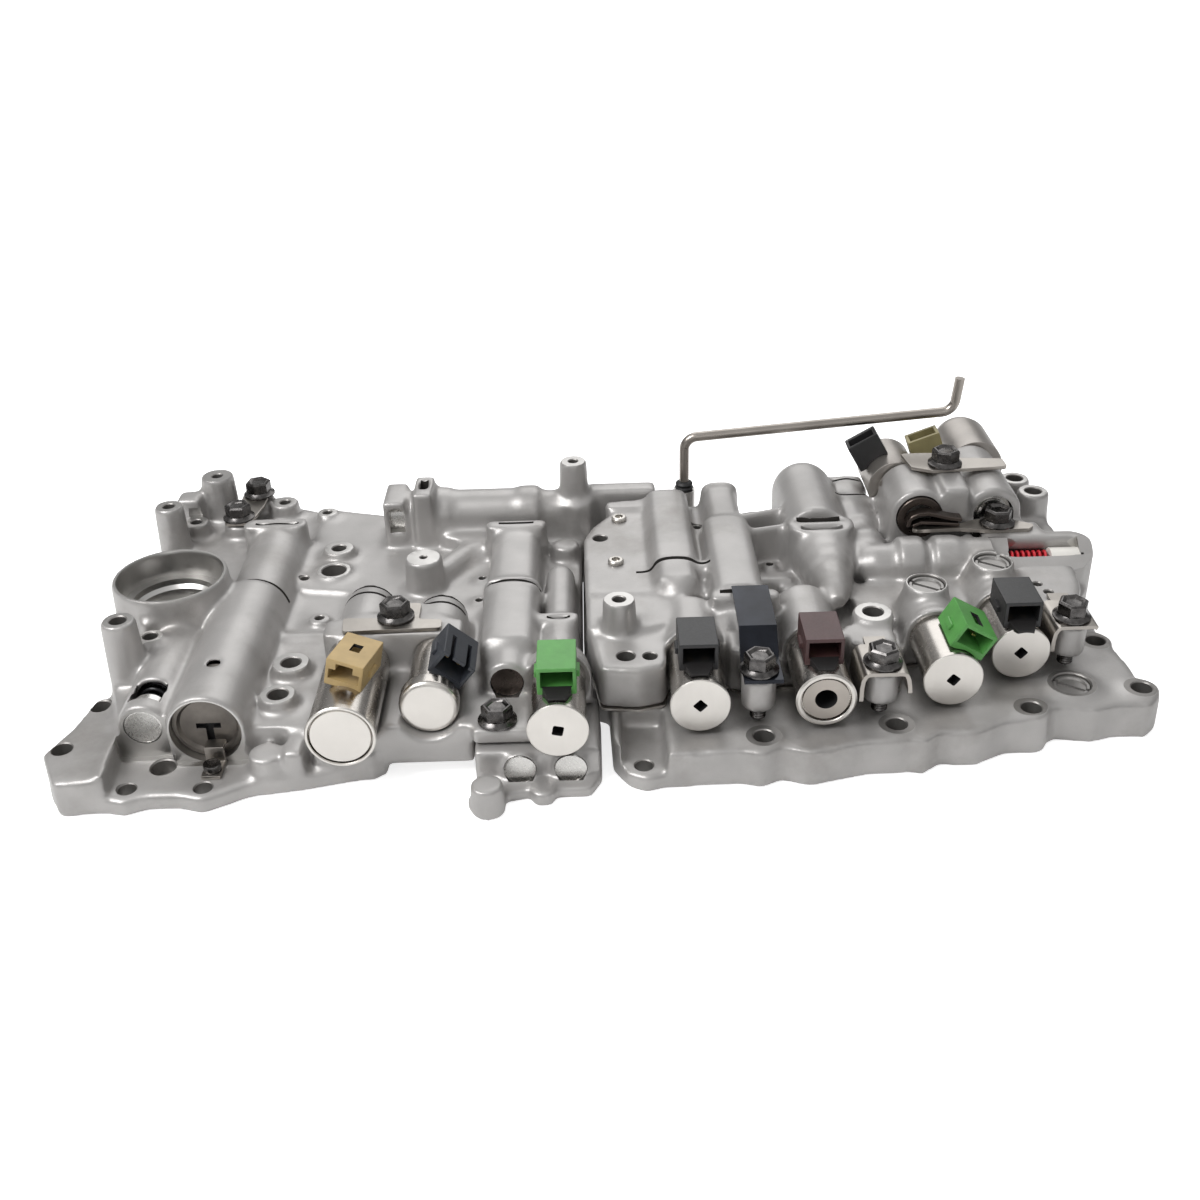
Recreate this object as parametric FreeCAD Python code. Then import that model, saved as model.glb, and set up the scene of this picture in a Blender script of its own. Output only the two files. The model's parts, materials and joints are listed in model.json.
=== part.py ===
"""Hydraulic valve body of an automatic gearbox, with its solenoids, as taken off the gearbox.

The X axis runs along the long side, Y away from the solenoid faces and Z up. The origin is on the
underside, under the middle of the assembly. Three cast housings carry everything: the left housing
with the strainer port, the base plate at the right, and the right housing that stands on the base
plate with a thin steel sheet between them. All lengths are in millimetres.
"""
import FreeCAD, Part
import math
import os

os.makedirs("parts", exist_ok=True)
V = FreeCAD.Vector

# Levels above the underside
PAD_T = 7.0            # low bolt pads along the front
CORNER_T = 15.0        # raised corner plate at the left
BASE_T = 15.5          # base plate at the right
SHEET_T = 1.0          # steel sheet between base plate and right housing
YARD_T = 19.0          # low deck between the wide bore and the solenoids
DECK_T = 22.0          # main deck of the left housing
LID_T = 21.5           # flange plate of the right housing
SHELF_DROP = 4.0       # low front shelf under the flange plate's top
STEP_DROP = 1.5        # middle step of the flange plate
FLOOR_DROP = 13.5      # floor between the right bores under the flange plate's top

# Castings
DRAFT = 0.035          # side slope of cast walls, as a share of their height
CAST_R = 2.5           # corner radius of cast outlines
WALL = 2.5             # wall round the strainer port
BORE_WALL = 2.5        # wall round the narrow left bore
SLOT_W = 1.6           # retaining slots across the bores
KEY_GAP = 0.2          # all-round gap of a retaining key in its slot

# Fixings
BOLT_D = 6.0
BOLT_HOLE_D = 6.6
TAP_GAP = 0.05         # radial gap of a bolt in its tapped hole
MOUNT_HOLE_D = 7.6     # holes that hold the valve body to the gearbox
HEX_AF = 10.0
HEX_H = 5.2
WASHER_D = 14.2        # flange under the hexagon
WASHER_T = 1.6
STRAP_T = 1.6          # sheet steel of the clamps
EAR_H = 16.0           # height of the ears that the front clamp bolts go through
EAR_R = 6.4

# Solenoids
CAN_D = 21.8
CAN_L = 34.0
WIDE_CAN_D = 25.0      # first solenoid
CAP_L = 7.0            # wide cap of the second solenoid
NECK_SHARE = 0.8       # its can's diameter behind the cap, as a share of the cap's
CAN_AIR = 0.5          # air round a can in its housing
CAN_RIM = 1.2
SNOUT_D = 14.0
SNOUT_L = 14.0
SNOUT_GAP = 0.15       # radial gap of a snout in its bore
CAN_Z = 28.0           # axis of the front solenoids over the underside
FACE_HOLE_D = 3.6
PLUG_W = 14.0          # connector
PLUG_L = 20.0
PLUG_H = 9.0
PLUG_WALL = 1.4
PLUG_SEAT = 0.1        # gap between connector and can
PLUG_BACK = 5.0        # from the connector's end to the can's seat

# Left bores
DAMPER_X = -170.0
DAMPER_Y = -43.0
DAMPER_D = 14.0
ACCU_X = -146.5
ACCU_Y = -46.7
ACCU_D = 26.0
ACCU_L = 80.0          # depth of the wide bore
ACCU_WALL = 1.8
LEFT_BORE_Z = 20.0
PISTON_L = 22.0
PISTON_IN = 3.5        # face of the wide piston behind the bore's mouth
RUN_GAP = 0.05         # radial running gap of the pistons and spools

# Strainer port
PORT_X = -176.4
PORT_Y = 35.8
PORT_D = 41.0
PORT_Z = 40.0          # rim over the underside
PORT_DEPTH = 11.0

# Middle bores of the left housing
MID_Z = 27.0           # axis over the underside
TAN_X = -94.8
NEAR_X = -65.5
CENTRE_X = -38.0
CENTRE_BORE_D = 12.4
GREEN_X = -19.0

# Rear housing along X
REAR_X = -96.5         # its left end
REAR_Y = 98.0
REAR_Z = 34.0
REAR_D = 20.0
REAR_BORE_D = 15.0

# Lower housing under the deck
LOW_Z = 9.0
LOW_BORES = (-33.2, -15.1)
LOW_BORE_D = 11.8

# Manual valve and link rod
MANUAL_X = 36.0
MANUAL_Z = 28.0
MANUAL_D = 9.0
MANUAL_NECK_D = 6.0
MANUAL_EYE_Y = 104.5
EYE_D = 9.6
ROD_D = 4.2
ROD_TOP = 63.5
ROD_BEND_R = 6.0
ROD_END_X = 153.0
ROD_RISE = 9.0
ROD_TIP = 15.0
GROMMET_D = 7.6

# Relay valve at the right, along X
RELAY_Y = 40.5
RELAY_Z = 32.0
RELAY_D = 11.0
RELAY_X0 = 142.0
RELAY_X1 = 197.0
SPOOL_L = 12.0
SPRING_L = 17.0

# Rear solenoids
BACK_X = 130.5         # housing of the black solenoid
BACK_CAN_X = 126.0
BACK_Z = 45.5
BACK_CAN_D = 23.0
END_X = 161.5          # housing of the olive solenoid
END_CAN_X = 165.0
END_Z = 45.0
END_CAN_D = 25.0

SHEET_Z = BASE_T + SHEET_T
LID_Z = SHEET_Z + LID_T
SHELF_Z = LID_Z - SHELF_DROP
STEP_Z = LID_Z - STEP_DROP
FLOOR_Z = LID_Z - FLOOR_DROP


def cyl_z(x, y, z0, z1, r):
    return Part.makeCylinder(r, z1 - z0, V(x, y, z0))


def cyl_y(x, z, y0, y1, r):
    return Part.makeCylinder(r, y1 - y0, V(x, y0, z), V(0, 1, 0))


def cyl_x(y, z, x0, x1, r):
    return Part.makeCylinder(r, x1 - x0, V(x0, y, z), V(1, 0, 0))


def ball(x, y, z, r):
    return Part.makeSphere(r, V(x, y, z))


def block(x0, x1, y0, y1, z0, z1):
    return Part.makeBox(x1 - x0, y1 - y0, z1 - z0, V(x0, y0, z0))


def post(x, y, z0, z1, r):
    """Round cast post, drafted, with the radius r at its top."""
    return Part.makeCone(r + (z1 - z0) * DRAFT, r, z1 - z0, V(x, y, z0))


def segment(a, b):
    return Part.LineSegment(a, b).toShape()


def rounded_wire(points, radius):
    """Closed outline through the points with each corner rounded as far as its sides leave room."""
    count = len(points)
    corners = []
    for i in range(count):
        corner = points[i]
        back, ahead = points[i - 1] - corner, points[(i + 1) % count] - corner
        room = 0.45 * min(back.Length, ahead.Length)
        back.normalize()
        ahead.normalize()
        half = back.getAngle(ahead) / 2
        inward = back + ahead
        if inward.Length < 0.02:
            corners.append((corner, None, corner))
            continue
        inward.normalize()
        length = min(room, radius / math.tan(half))
        depth = length / math.cos(half) - length * math.tan(half)
        corners.append((corner + back * length, corner + inward * depth, corner + ahead * length))
    edges = []
    for i in range(count):
        start, middle, end = corners[i]
        if middle is not None:
            edges.append(Part.Arc(start, middle, end).toShape())
        edges.append(segment(end, corners[(i + 1) % count][0]))
    return Part.Wire(edges)


def slab(outline, z0, z1, radius=CAST_R):
    """Plate with the outline (x, y) from z0 up to z1."""
    wire = rounded_wire([V(x, y, z0) for x, y in outline], radius)
    return Part.Face(wire).extrude(V(0, 0, z1 - z0))


def housing_y(x, z, r, y0, y1, foot):
    """Cast housing of a bore along Y: half round on top, drafted walls down to its foot."""
    flare = (z - foot) * DRAFT
    a, b = V(x - r - flare, y0, foot), V(x - r, y0, z)
    c, d = V(x + r, y0, z), V(x + r + flare, y0, foot)
    wire = Part.Wire([segment(a, b), Part.Arc(b, V(x, y0, z + r), c).toShape(), segment(c, d),
                      segment(d, a)])
    return Part.Face(wire).extrude(V(0, y1 - y0, 0))


def housing_x(y, z, r, x0, x1, foot):
    """The same along X."""
    shape = housing_y(0, z, r, 0, x1 - x0, foot)
    shape.rotate(V(0, 0, 0), V(0, 0, 1), -90)
    shape.translate(V(x0, y, 0))
    return shape


def arch_y(x, top, half, corner, y0, y1, foot):
    """Cast housing along Y with a slightly crowned top between rounded shoulders."""
    flare = (top - corner - foot) * DRAFT
    side, knee = half - corner, corner * 0.293
    a, b = V(x - half - flare, y0, foot), V(x - half, y0, top - corner)
    c, d = V(x - side, y0, top), V(x + side, y0, top)
    e, f = V(x + half, y0, top - corner), V(x + half + flare, y0, foot)
    left_knee = V(x - half + knee, y0, top - knee)
    right_knee = V(x + half - knee, y0, top - knee)
    wire = Part.Wire([segment(a, b), Part.Arc(b, left_knee, c).toShape(),
                      Part.Arc(c, V(x, y0, top + 0.08 * side), d).toShape(),
                      Part.Arc(d, right_knee, e).toShape(), segment(e, f), segment(f, a)])
    return Part.Face(wire).extrude(V(0, y1 - y0, 0))


def pipe(a, b, r):
    """Round passage between two points."""
    run = V(*b) - V(*a)
    return Part.makeCylinder(r, run.Length, V(*a), run)


def rib(a, b, z0, z1, width):
    """Straight wall between two plan points."""
    run = V(b[0] - a[0], b[1] - a[1], 0)
    wall = Part.makeBox(run.Length, width, z1 - z0, V(0, -width / 2, 0))
    wall.rotate(V(0, 0, 0), V(0, 0, 1), math.degrees(math.atan2(run.y, run.x)))
    wall.translate(V(a[0], a[1], z0))
    return wall


def turned(profile, x, z):
    """Body of (y, radius) points turned about an axis along Y."""
    points = [V(radius, along, 0) for along, radius in profile]
    solid = Part.Face(Part.makePolygon(points + [points[0]])).revolve(V(0, 0, 0), V(0, 1, 0), 360)
    solid.translate(V(x, 0, z))
    return solid


def groove(x, z, y0, y1, inner, outer, foot):
    """Room of an arched slot cut into a housing from above."""
    ring = cyl_y(x, z, y0, y1, outer).cut(cyl_y(x, z, y0, y1, inner))
    return ring.common(block(x - outer - 1, x + outer + 1, y0, y1, foot, z + outer + 1))


def fuse(shapes):
    return shapes[0].multiFuse(shapes[1:]).removeSplitter()


def cut(shape, tools):
    return shape.cut(Part.makeCompound(tools)) if tools else shape


def save(name, shape):
    shape.exportStep("parts/" + name + ".step")


# Solenoids: axis x, seat y, axis z, can diameter, can length, face hole, connector tilt and turn
SOLENOIDS = {
    "a": (TAN_X, -14.7, MID_Z, WIDE_CAN_D, CAN_L + 14, 0.0, 12.0, -14.0),
    "b": (NEAR_X, -12.3, MID_Z, CAN_D, CAN_L, 0.0, 40.0, 0.0),
    "c": (GREEN_X, -28.6, MID_Z, CAN_D, CAN_L, FACE_HOLE_D, 0.0, 0.0),
    "d": (31.5, -17.3, CAN_Z, CAN_D, CAN_L, FACE_HOLE_D, 0.0, 0.0),
    "e": (76.4, -16.2, CAN_Z, CAN_D, CAN_L, 8.0, 0.0, 0.0),
    "f": (124.0, -9.5, CAN_Z, CAN_D, CAN_L - 4, FACE_HOLE_D, 30.0, 0.0),
    "g": (153.0, 5.2, CAN_Z, CAN_D, CAN_L - 6, FACE_HOLE_D, 0.0, 0.0),
}
LEFT_KEYS = "abc"
RIGHT_KEYS = "defg"


def can_body(x, seat, z, dia, hole, length):
    """Drawn steel can on a turned snout, with a rim round its recessed face."""
    r = dia / 2
    face = seat - length
    solid = turned([(face + 0.5, 0), (face + 0.5, r - CAN_RIM), (face, r - CAN_RIM), (face, r - 0.4),
                    (face + 0.6, r), (seat, r), (seat, SNOUT_D / 2), (seat + SNOUT_L, SNOUT_D / 2),
                    (seat + SNOUT_L, 0)], x, z)
    return solid.cut(cyl_y(x, z, face, face + length * 0.6, hole / 2)) if hole else solid


def capped_body(x, seat, z, dia, length):
    """Can whose front cap is wider than the rest."""
    r = dia / 2
    neck = r * NECK_SHARE
    face = seat - length
    return turned([(face, 0), (face, r - 1), (face + 1, r), (face + CAP_L - 1, r), (face + CAP_L + 1, neck),
                   (seat, neck), (seat, SNOUT_D / 2), (seat + SNOUT_L, SNOUT_D / 2), (seat + SNOUT_L, 0)],
                   x, z)


def connector(x, y, z, r, tilt, turn):
    """Moulded connector shell on top of a can, open towards the front, cut to sit on the can."""
    base = r - 1.5
    shell = block(-PLUG_W / 2, PLUG_W / 2, -PLUG_L / 2, PLUG_L / 2, base, r + PLUG_H)
    inner = PLUG_W / 2 - PLUG_WALL
    mouth = block(-inner, inner, -PLUG_L / 2 - 1, PLUG_L / 4, r + PLUG_WALL, r + PLUG_H - PLUG_WALL)
    shell = shell.cut(mouth)
    shell.rotate(V(0, 0, r), V(0, 0, 1), turn)
    shell.rotate(V(0, 0, 0), V(0, 1, 0), tilt)
    seat = cyl_y(0, 0, -PLUG_L * 2, PLUG_L * 2, r + PLUG_SEAT)
    shell = shell.cut(seat)
    shell.translate(V(x, y, z))
    return shell


for key, (x, seat, z, dia, length, hole, tilt, turn) in SOLENOIDS.items():
    middle = seat - PLUG_BACK - PLUG_L / 2
    seat_r = dia / 2
    if key == "a":
        middle = seat - PLUG_BACK - PLUG_L / 2 - 9
    if key == "b":
        middle = seat - length + CAP_L + 2 + PLUG_L / 2
        seat_r = dia / 2 * NECK_SHARE
        save("solenoid_b_can", capped_body(x, seat, z, dia, length))
    else:
        save("solenoid_%s_can" % key, can_body(x, seat, z, dia, hole, length))
    save("solenoid_%s_connector" % key, connector(x, middle, z, seat_r, tilt, turn))


def snout_bore(x, seat, z):
    return cyl_y(x, z, seat, seat + SNOUT_L + 1, SNOUT_D / 2 + SNOUT_GAP)


def can_clearance(keys):
    """Room for the cans in front of their seats, with an air gap all round."""
    rooms = []
    for key in keys:
        x, seat, z, dia, length = SOLENOIDS[key][:5]
        half = PLUG_W / 2 + 1.5
        rooms.append(cyl_y(x, z, seat - length - 5, seat, dia / 2 + CAN_AIR))
        rooms.append(block(x - half, x + half, seat - length, seat - 4.2, z, LID_Z + 12))
        rooms.append(snout_bore(x, seat, z))
    return rooms


def seat_collar(key, back, foot):
    """Housing of a snout: a wide collar round the can's end and a body behind it."""
    x, seat, z, dia = SOLENOIDS[key][:4]
    return [housing_y(x, z, dia / 2 + 1.5, seat - 2, seat + 2.5, foot),
            housing_y(x, z, dia / 2 + 0.4, seat + 2, back, foot)]


# Left housing
LEFT_PADS = [(-205, -50), (-200, -62.6), (-192.5, -67), (-184, -67), (-173, -69.5), (-166, -66.4),
             (-154, -66.5), (-145.6, -69), (-138, -65.4), (-130.5, -60.7), (-113, -58), (-84, -51),
             (-84, -30), (-190, -30)]
CORNER = [(-205.5, -50), (-196, -69), (-178.6, -67.5), (-180, -45), (-176, -30), (-176, -14), (-196, -14),
          (-199.5, -34)]
YARD = [(-180, -41), (-113, -44), (-106, -50), (-52, -50), (-10.5, -50), (-10.5, 96), (-95, 108),
        (-100, 122),
        (-127, 130), (-140, 137), (-164, 138), (-180, 141), (-196, 120), (-197, 90), (-186, 62), (-199, 50),
        (-200, 22), (-188, 8), (-192, -8), (-188, -18)]
DECK = [(-107, -49), (-52, -50), (-10.5, -50), (-10.5, 96), (23, 96), (23, 108), (-95, 108), (-100, 122),
        (-127, 130), (-131, 112), (-131, 54), (-107, 50)]
LEFT_BOSSES = [  # x, y, top over the underside, radius, hole radius, hole depth
    (-122.0, -7.6, 24.0, 7.6, 3.8, 9.0),
    (-123.0, -29.4, 24.0, 7.0, 3.8, 9.0),
    (-116.5, 82.0, 26.0, 7.0, 3.0, 8.0),
    (-116.5, 65.5, 24.0, 7.6, 5.2, 8.0),
    (-117.0, 28.2, 22.5, 4.6, 1.8, 4.0),
    (-128.5, 61.0, 23.0, 4.0, 1.9, 4.0),
    (-75.6, 50.4, 37.0, 7.9, 1.4, 4.0),
    (-148.8, 130.0, 26.0, 6.5, 2.5, 8.0),
    (-186.0, 112.0, 26.0, 6.0, 2.5, 8.0),
    (-128.0, 122.0, 24.0, 5.0, 2.0, 6.0),
    (-166.0, 111.5, 26.0, 7.0, BOLT_D / 2 + TAP_GAP, 10.0),
    (-161.5, 136.0, 26.0, 7.0, BOLT_D / 2 + TAP_GAP, 10.0),
    (-52.6, 36.5, 24.0, 3.4, 1.5, 4.0),
    (-52.4, 55.0, 24.0, 3.4, 1.5, 4.0),
]
LEFT_POSTS = [  # x, y, top, radius, hole radius
    (-184.2, -7.9, 45.0, 6.6, 3.2),
    (-177.5, 3.4, 31.0, 5.2, 2.8),
    (-192.5, 98.0, 41.0, 6.3, 2.6),
    (-178.5, 131.0, 40.0, 7.5, 2.4),
    (-13.0, 98.0, 57.0, 6.0, 2.0),
]
TAB_SEAT = 26.0
DAMPER_R = DAMPER_D / 2
DAMPER_HOUSE_R = DAMPER_R + BORE_WALL
DAMPER_END = 26.0
ACCU_R = ACCU_D / 2
ACCU_HOUSE_R = ACCU_R + ACCU_WALL
ACCU_END = ACCU_Y + ACCU_L
ACCU_STEP_Y = 42.0     # end of the wide bore's sleeve
ACCU_TAIL_X = ACCU_X + 2.2
ACCU_TAIL_R = 13.0
ACCU_KEY_Y = 91.0      # slot across its rear end
CENTRE_R = 10.8
CENTRE_SLOT_Y = 26.0   # arched slot across the centre bore
CENTRE_END = 79.0
CENTRE_KEY_Y = 75.4    # straight slot at its rear end
GREEN_KEY_Y = 4.2
REAR_R = REAR_D / 2

LEFT_HOUSES = [(TAN_X, 29.0, 10.8), (NEAR_X, 20.0, 10.6)]   # axis x, rear end, radius

left = [
    slab(LEFT_PADS, 0, PAD_T),
    slab(CORNER, 0, CORNER_T),
    slab(YARD, 0, YARD_T),
    slab(DECK, 0, DECK_T),
    # lip along the corner plate, buttresses on the front edge
    slab([(-182, -66), (-178.6, -67.5), (-180, -45), (-178, -38), (-181, -38), (-183, -46)], 0,
         CORNER_T + 1.2, 0.8),
    post(-124.5, -52, 0, 14.5, 6.5),
    block(-117.5, -110.5, -57.5, -44, 0, 17),
    block(-108, -86, -53, -45, 0, 12),
    # narrow bore
    housing_y(DAMPER_X, LEFT_BORE_Z, DAMPER_HOUSE_R, DAMPER_Y, DAMPER_END - 3, 0),
    ball(DAMPER_X, DAMPER_END - 3, LEFT_BORE_Z, DAMPER_HOUSE_R),
    # wide bore: sleeve, narrower tail, plate of the rear slot
    housing_y(ACCU_X, LEFT_BORE_Z, ACCU_HOUSE_R, ACCU_Y, ACCU_STEP_Y, 0),
    housing_y(ACCU_TAIL_X, LEFT_BORE_Z, ACCU_TAIL_R, ACCU_STEP_Y - 1, ACCU_KEY_Y + 4, 0),
    slab([(-158, 87.5), (-133.5, 87.5), (-130.5, 91), (-132, 97), (-157, 97), (-159.5, 92)], 10,
         LEFT_BORE_Z + ACCU_TAIL_R + 1.4, 2),
    housing_x(17.5, YARD_T - 2, 4.5, ACCU_X, -104, 0),
    # strainer port on its buttresses
    post(PORT_X, PORT_Y, 0, PORT_Z, PORT_D / 2 + WALL),
    post(-192.5, 21.5, 0, PORT_Z - 9, 4.0),
    post(-181.0, 13.5, 0, PORT_Z - 7, 3.6),
    block(-199, -193, 60, 88, 0, YARD_T + 3),
    slab([(-196, 118), (-185, 118), (-184, 130), (-196, 129)], 0, 34, 2),
]
for x, y, top, r, hole, depth in LEFT_BOSSES:
    left.append(post(x, y, 0, top, r))
for x, y, top, r, hole in LEFT_POSTS:
    left.append(post(x, y, 0, top, r))
# Housings of the two left solenoids, with the pad of their retainer between them
for x, back, r in LEFT_HOUSES:
    left.append(housing_y(x, MID_Z, r, -14, back - 6, 0))
    left.append(housing_y(x, MID_Z, r - 0.6, back - 7, back, 0))
left.append(slab([(-108, -12), (-55, -12), (-55, -2), (-70, 4), (-72, 13), (-84, 13), (-86, 5), (-108, 0)],
                 DECK_T - 1,
                 LID_Z, 2))
# Centre housing: front nose, collar of the arched slot, plate of the rear slot
left += [
    housing_y(CENTRE_X, MID_Z, 8.4, -31, -17, 0),
    ball(CENTRE_X, -16, MID_Z - 0.6, 10.4),
    arch_y(CENTRE_X, MID_Z + CENTRE_R, CENTRE_R, 6, -17, CENTRE_SLOT_Y + 2.5, 0),
    arch_y(CENTRE_X, MID_Z + CENTRE_R + 0.9, CENTRE_R + 1.2, 6, CENTRE_SLOT_Y - 3, CENTRE_SLOT_Y + 3, 0),
    arch_y(CENTRE_X, MID_Z + CENTRE_R - 0.6, CENTRE_R - 0.6, 6, CENTRE_SLOT_Y, CENTRE_END - 4, 0),
    slab([(-50, 71.5), (-26, 71.5), (-24.5, 76), (-26, CENTRE_END), (-50, CENTRE_END), (-51.5, 76)], 0,
         MID_Z + CENTRE_R + 1.4, 1.5),
    block(CENTRE_X - 12, CENTRE_X + 12, -54, -25, 0, DECK_T),
]
# Green solenoid's housing: seat, plate of the slot, narrow tail
left += seat_collar("c", -20, 0)
left += [
    post(-17.0, 74.0, DECK_T - 1, 29.5, 6.0),
    housing_y(GREEN_X, MID_Z, 7.4, -21, 0, 0),
    housing_y(GREEN_X, MID_Z, 6.0, -2, 46, 0),
    ball(GREEN_X, 46, MID_Z, 6.0),
    slab([(GREEN_X - 8, GREEN_KEY_Y - 4), (GREEN_X + 7, GREEN_KEY_Y - 4), (GREEN_X + 8, GREEN_KEY_Y + 3),
          (GREEN_X - 8, GREEN_KEY_Y + 3)], 0, MID_Z + 7.6, 1.5),
]
# Rear housing along X: square end, block of the slot, collars and the foot of the tall post
left += [
    block(REAR_X, REAR_X + 10, REAR_Y - REAR_R - 1.5, REAR_Y + REAR_R, YARD_T - 1, REAR_Z + REAR_R + 0.6),
    block(REAR_X + 13.6, REAR_X + 22, REAR_Y - REAR_R - 3, REAR_Y + REAR_R - 3, YARD_T - 1,
          REAR_Z + REAR_R + 5),
    housing_x(REAR_Y, REAR_Z, REAR_R - 0.5, REAR_X + 9, REAR_X + 24, YARD_T - 1),
    housing_x(REAR_Y, REAR_Z, REAR_R + 1.2, REAR_X + 21, REAR_X + 29, YARD_T - 1),
    housing_x(REAR_Y, REAR_Z, REAR_R, REAR_X + 28, -37, YARD_T - 1),
    housing_x(REAR_Y, REAR_Z, REAR_R + 1.0, -37.5, -28.5, YARD_T - 1),
    housing_x(REAR_Y, REAR_Z, REAR_R - 1.4, -29, -6, YARD_T - 1),
    post(-13.0, 98.0, DECK_T - 1, REAR_Z + 6, 9.6),
    slab([(-8, 96.5), (23, 96.5), (23, 106), (-8, 106)], DECK_T - 1, REAR_Z + 9, 1.5),
]
# Passage from the knob to the centre housing's rear end
left += [
    pipe((-75.6, 50.4, DECK_T + 1), (-60, 76, DECK_T + 1), 6.0),
    ball(-60, 76, DECK_T + 1, 6.0),
    pipe((-60, 76, DECK_T + 1), (-46, 79, DECK_T + 2), 6.0),
    slab([(-73, 92), (-71, 84), (-62, 80), (-50, 79), (-50, 92)], 0, DECK_T + 7.5, 2),
]

UNDER = (-50.0, -3.0, -66.0, -20.0)   # room under the deck for the small lower housing
left_cuts = [
    block(UNDER[0], UNDER[1] + 10, UNDER[2] - 20, UNDER[3], -1, BASE_T),
    block(-82, UNDER[0] + 1, -60, -38, -1, 5),
    cyl_z(PORT_X, PORT_Y, PORT_Z - PORT_DEPTH, PORT_Z + 1, PORT_D / 2),
    cyl_z(PORT_X, PORT_Y, PORT_Z - PORT_DEPTH - 4, PORT_Z, PORT_D / 2 - 3.5),
    cyl_z(PORT_X + 3, PORT_Y + 3, -1, PORT_Z, 10),
    cyl_y(DAMPER_X, LEFT_BORE_Z, DAMPER_Y - 1, DAMPER_END, DAMPER_R),
    block(DAMPER_X - 6, DAMPER_X + 6, DAMPER_Y + 6, DAMPER_Y + 18, LEFT_BORE_Z, LEFT_BORE_Z + 20),
    cyl_y(ACCU_X, LEFT_BORE_Z, ACCU_Y - 1, ACCU_END, ACCU_R),
    block(ACCU_X - 2.2, ACCU_X + 1.8, -25, -20.5, LEFT_BORE_Z, LEFT_BORE_Z + 20),
    groove(ACCU_X + 1, LEFT_BORE_Z, ACCU_STEP_Y - 0.8, ACCU_STEP_Y + 0.9, ACCU_TAIL_R - 1.6,
           ACCU_HOUSE_R + 2,
           LEFT_BORE_Z + 2),
    block(ACCU_TAIL_X - 9.5, ACCU_TAIL_X + 9.5, ACCU_KEY_Y, ACCU_KEY_Y + SLOT_W, LEFT_BORE_Z + 4,
          LEFT_BORE_Z + 20),
    cyl_y(CENTRE_X, MID_Z, -32, -24, CENTRE_BORE_D / 2),
    groove(CENTRE_X, MID_Z, CENTRE_SLOT_Y - 0.9, CENTRE_SLOT_Y + 0.9, CENTRE_R - 2.5, CENTRE_R + 4,
           MID_Z + 5),
    block(CENTRE_X - 7.5, CENTRE_X + 7.5, CENTRE_KEY_Y - 0.9, CENTRE_KEY_Y + 0.9, MID_Z + 5, MID_Z + 20),
    block(GREEN_X - 4.8, GREEN_X + 4.2, GREEN_KEY_Y - 1.4, GREEN_KEY_Y + 0.2, MID_Z + 2, MID_Z + 12),
    cyl_z(-163.2, -49.6, 1.2, YARD_T, 4.6),
]
for x, back, r in LEFT_HOUSES:
    left_cuts.append(groove(x, MID_Z, back - 2.6, back - 0.8, r - 3.4, r + 1, MID_Z + 1))
    left_cuts.append(groove(x, MID_Z, back - 8.6, back - 7.0, r - 2.6, r + 1, MID_Z + 3))
for x, y in [(-199, -47.6), (-193, -20.4)]:
    left_cuts.append(cyl_z(x, y, -1, CORNER_T + 1, MOUNT_HOLE_D / 2))
for x, y in [(-145.8, -62.4), (-173, -62)]:
    left_cuts.append(cyl_z(x, y, -1, PAD_T + 1, BOLT_HOLE_D / 2))
for x, y, top, r, hole, depth in LEFT_BOSSES:
    left_cuts.append(cyl_z(x, y, top - depth, top + 1, hole))
for x, y, top, r, hole in LEFT_POSTS:
    left_cuts.append(cyl_z(x, y, top - 16, top + 1, hole))
left_cuts += can_clearance(LEFT_KEYS)
CLIP_SCREW = (ACCU_X + 2.5, -54.0)
left_cuts.append(cyl_z(CLIP_SCREW[0], CLIP_SCREW[1], PAD_T - 5, PAD_T + 1, 1.55))
T_BOLT = (-80.8, -2.3)
CENTRE_BOLT = (-41.0, -48.0)
TAPPED_R = BOLT_D / 2 + TAP_GAP
left_cuts.append(cyl_z(T_BOLT[0], T_BOLT[1], LID_Z - 13, LID_Z + 1, TAPPED_R))
left_cuts.append(cyl_z(CENTRE_BOLT[0], CENTRE_BOLT[1], DECK_T - 6.5, DECK_T + 1, TAPPED_R))
REAR_BORE_R = REAR_BORE_D / 2
left_cuts.append(cyl_x(REAR_Y, REAR_Z, REAR_X - 1, -55, REAR_BORE_R))
left_cuts.append(block(REAR_X + 2.4, REAR_X + 9, REAR_Y - 14, REAR_Y, REAR_Z - 4, REAR_Z + 7))
left_cuts.append(block(REAR_X + 16, REAR_X + 19.6, REAR_Y - 6, REAR_Y + 3, REAR_Z, REAR_Z + 20))

left_casting = cut(fuse(left), left_cuts)
save("left_casting", left_casting)

# Base plate
BASE = [(0, -52), (5, -61), (11.6, -64.5), (19, -62.4), (45.7, -61.5), (52.9, -64.1), (60, -60), (70, -63.8),
        (90.1, -58.5), (100.2, -58.3), (106, -57.5), (111.2, -59), (118, -53.6), (130.6, -54.9),
        (142.7, -48.5),
        (153.4, -47.6), (163.9, -40.2), (176.7, -42.7), (185.9, -40), (197.8, -40.6), (203, -35.4),
        (198.5, -23.6),
        (198.8, -15), (196.4, 1.4), (194.3, 10), (194.6, 21.5), (198.2, 39.2), (201, 80), (202.3, 109),
        (200, 124), (182, 126), (180, 140), (152, 140), (150, 118), (112, 116), (66, 112), (44, 104),
        (42, 94),
        (26, 94), (24, 90), (-10, 90), (-10, 20), (-9, -18), (-1, -22)]
BASE_HOLES = [(54, -54), (102.4, -49), (153.2, -41.2), (197.2, -30.4), (190.8, 3.3)]
OIL_POCKET = (3.0, 19.0, -70.0, -33.0)
PLUG3 = (172.1, -27.3)
SCREW_PLUG_R = 7.0
PLUG_RIM = 1.6

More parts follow.
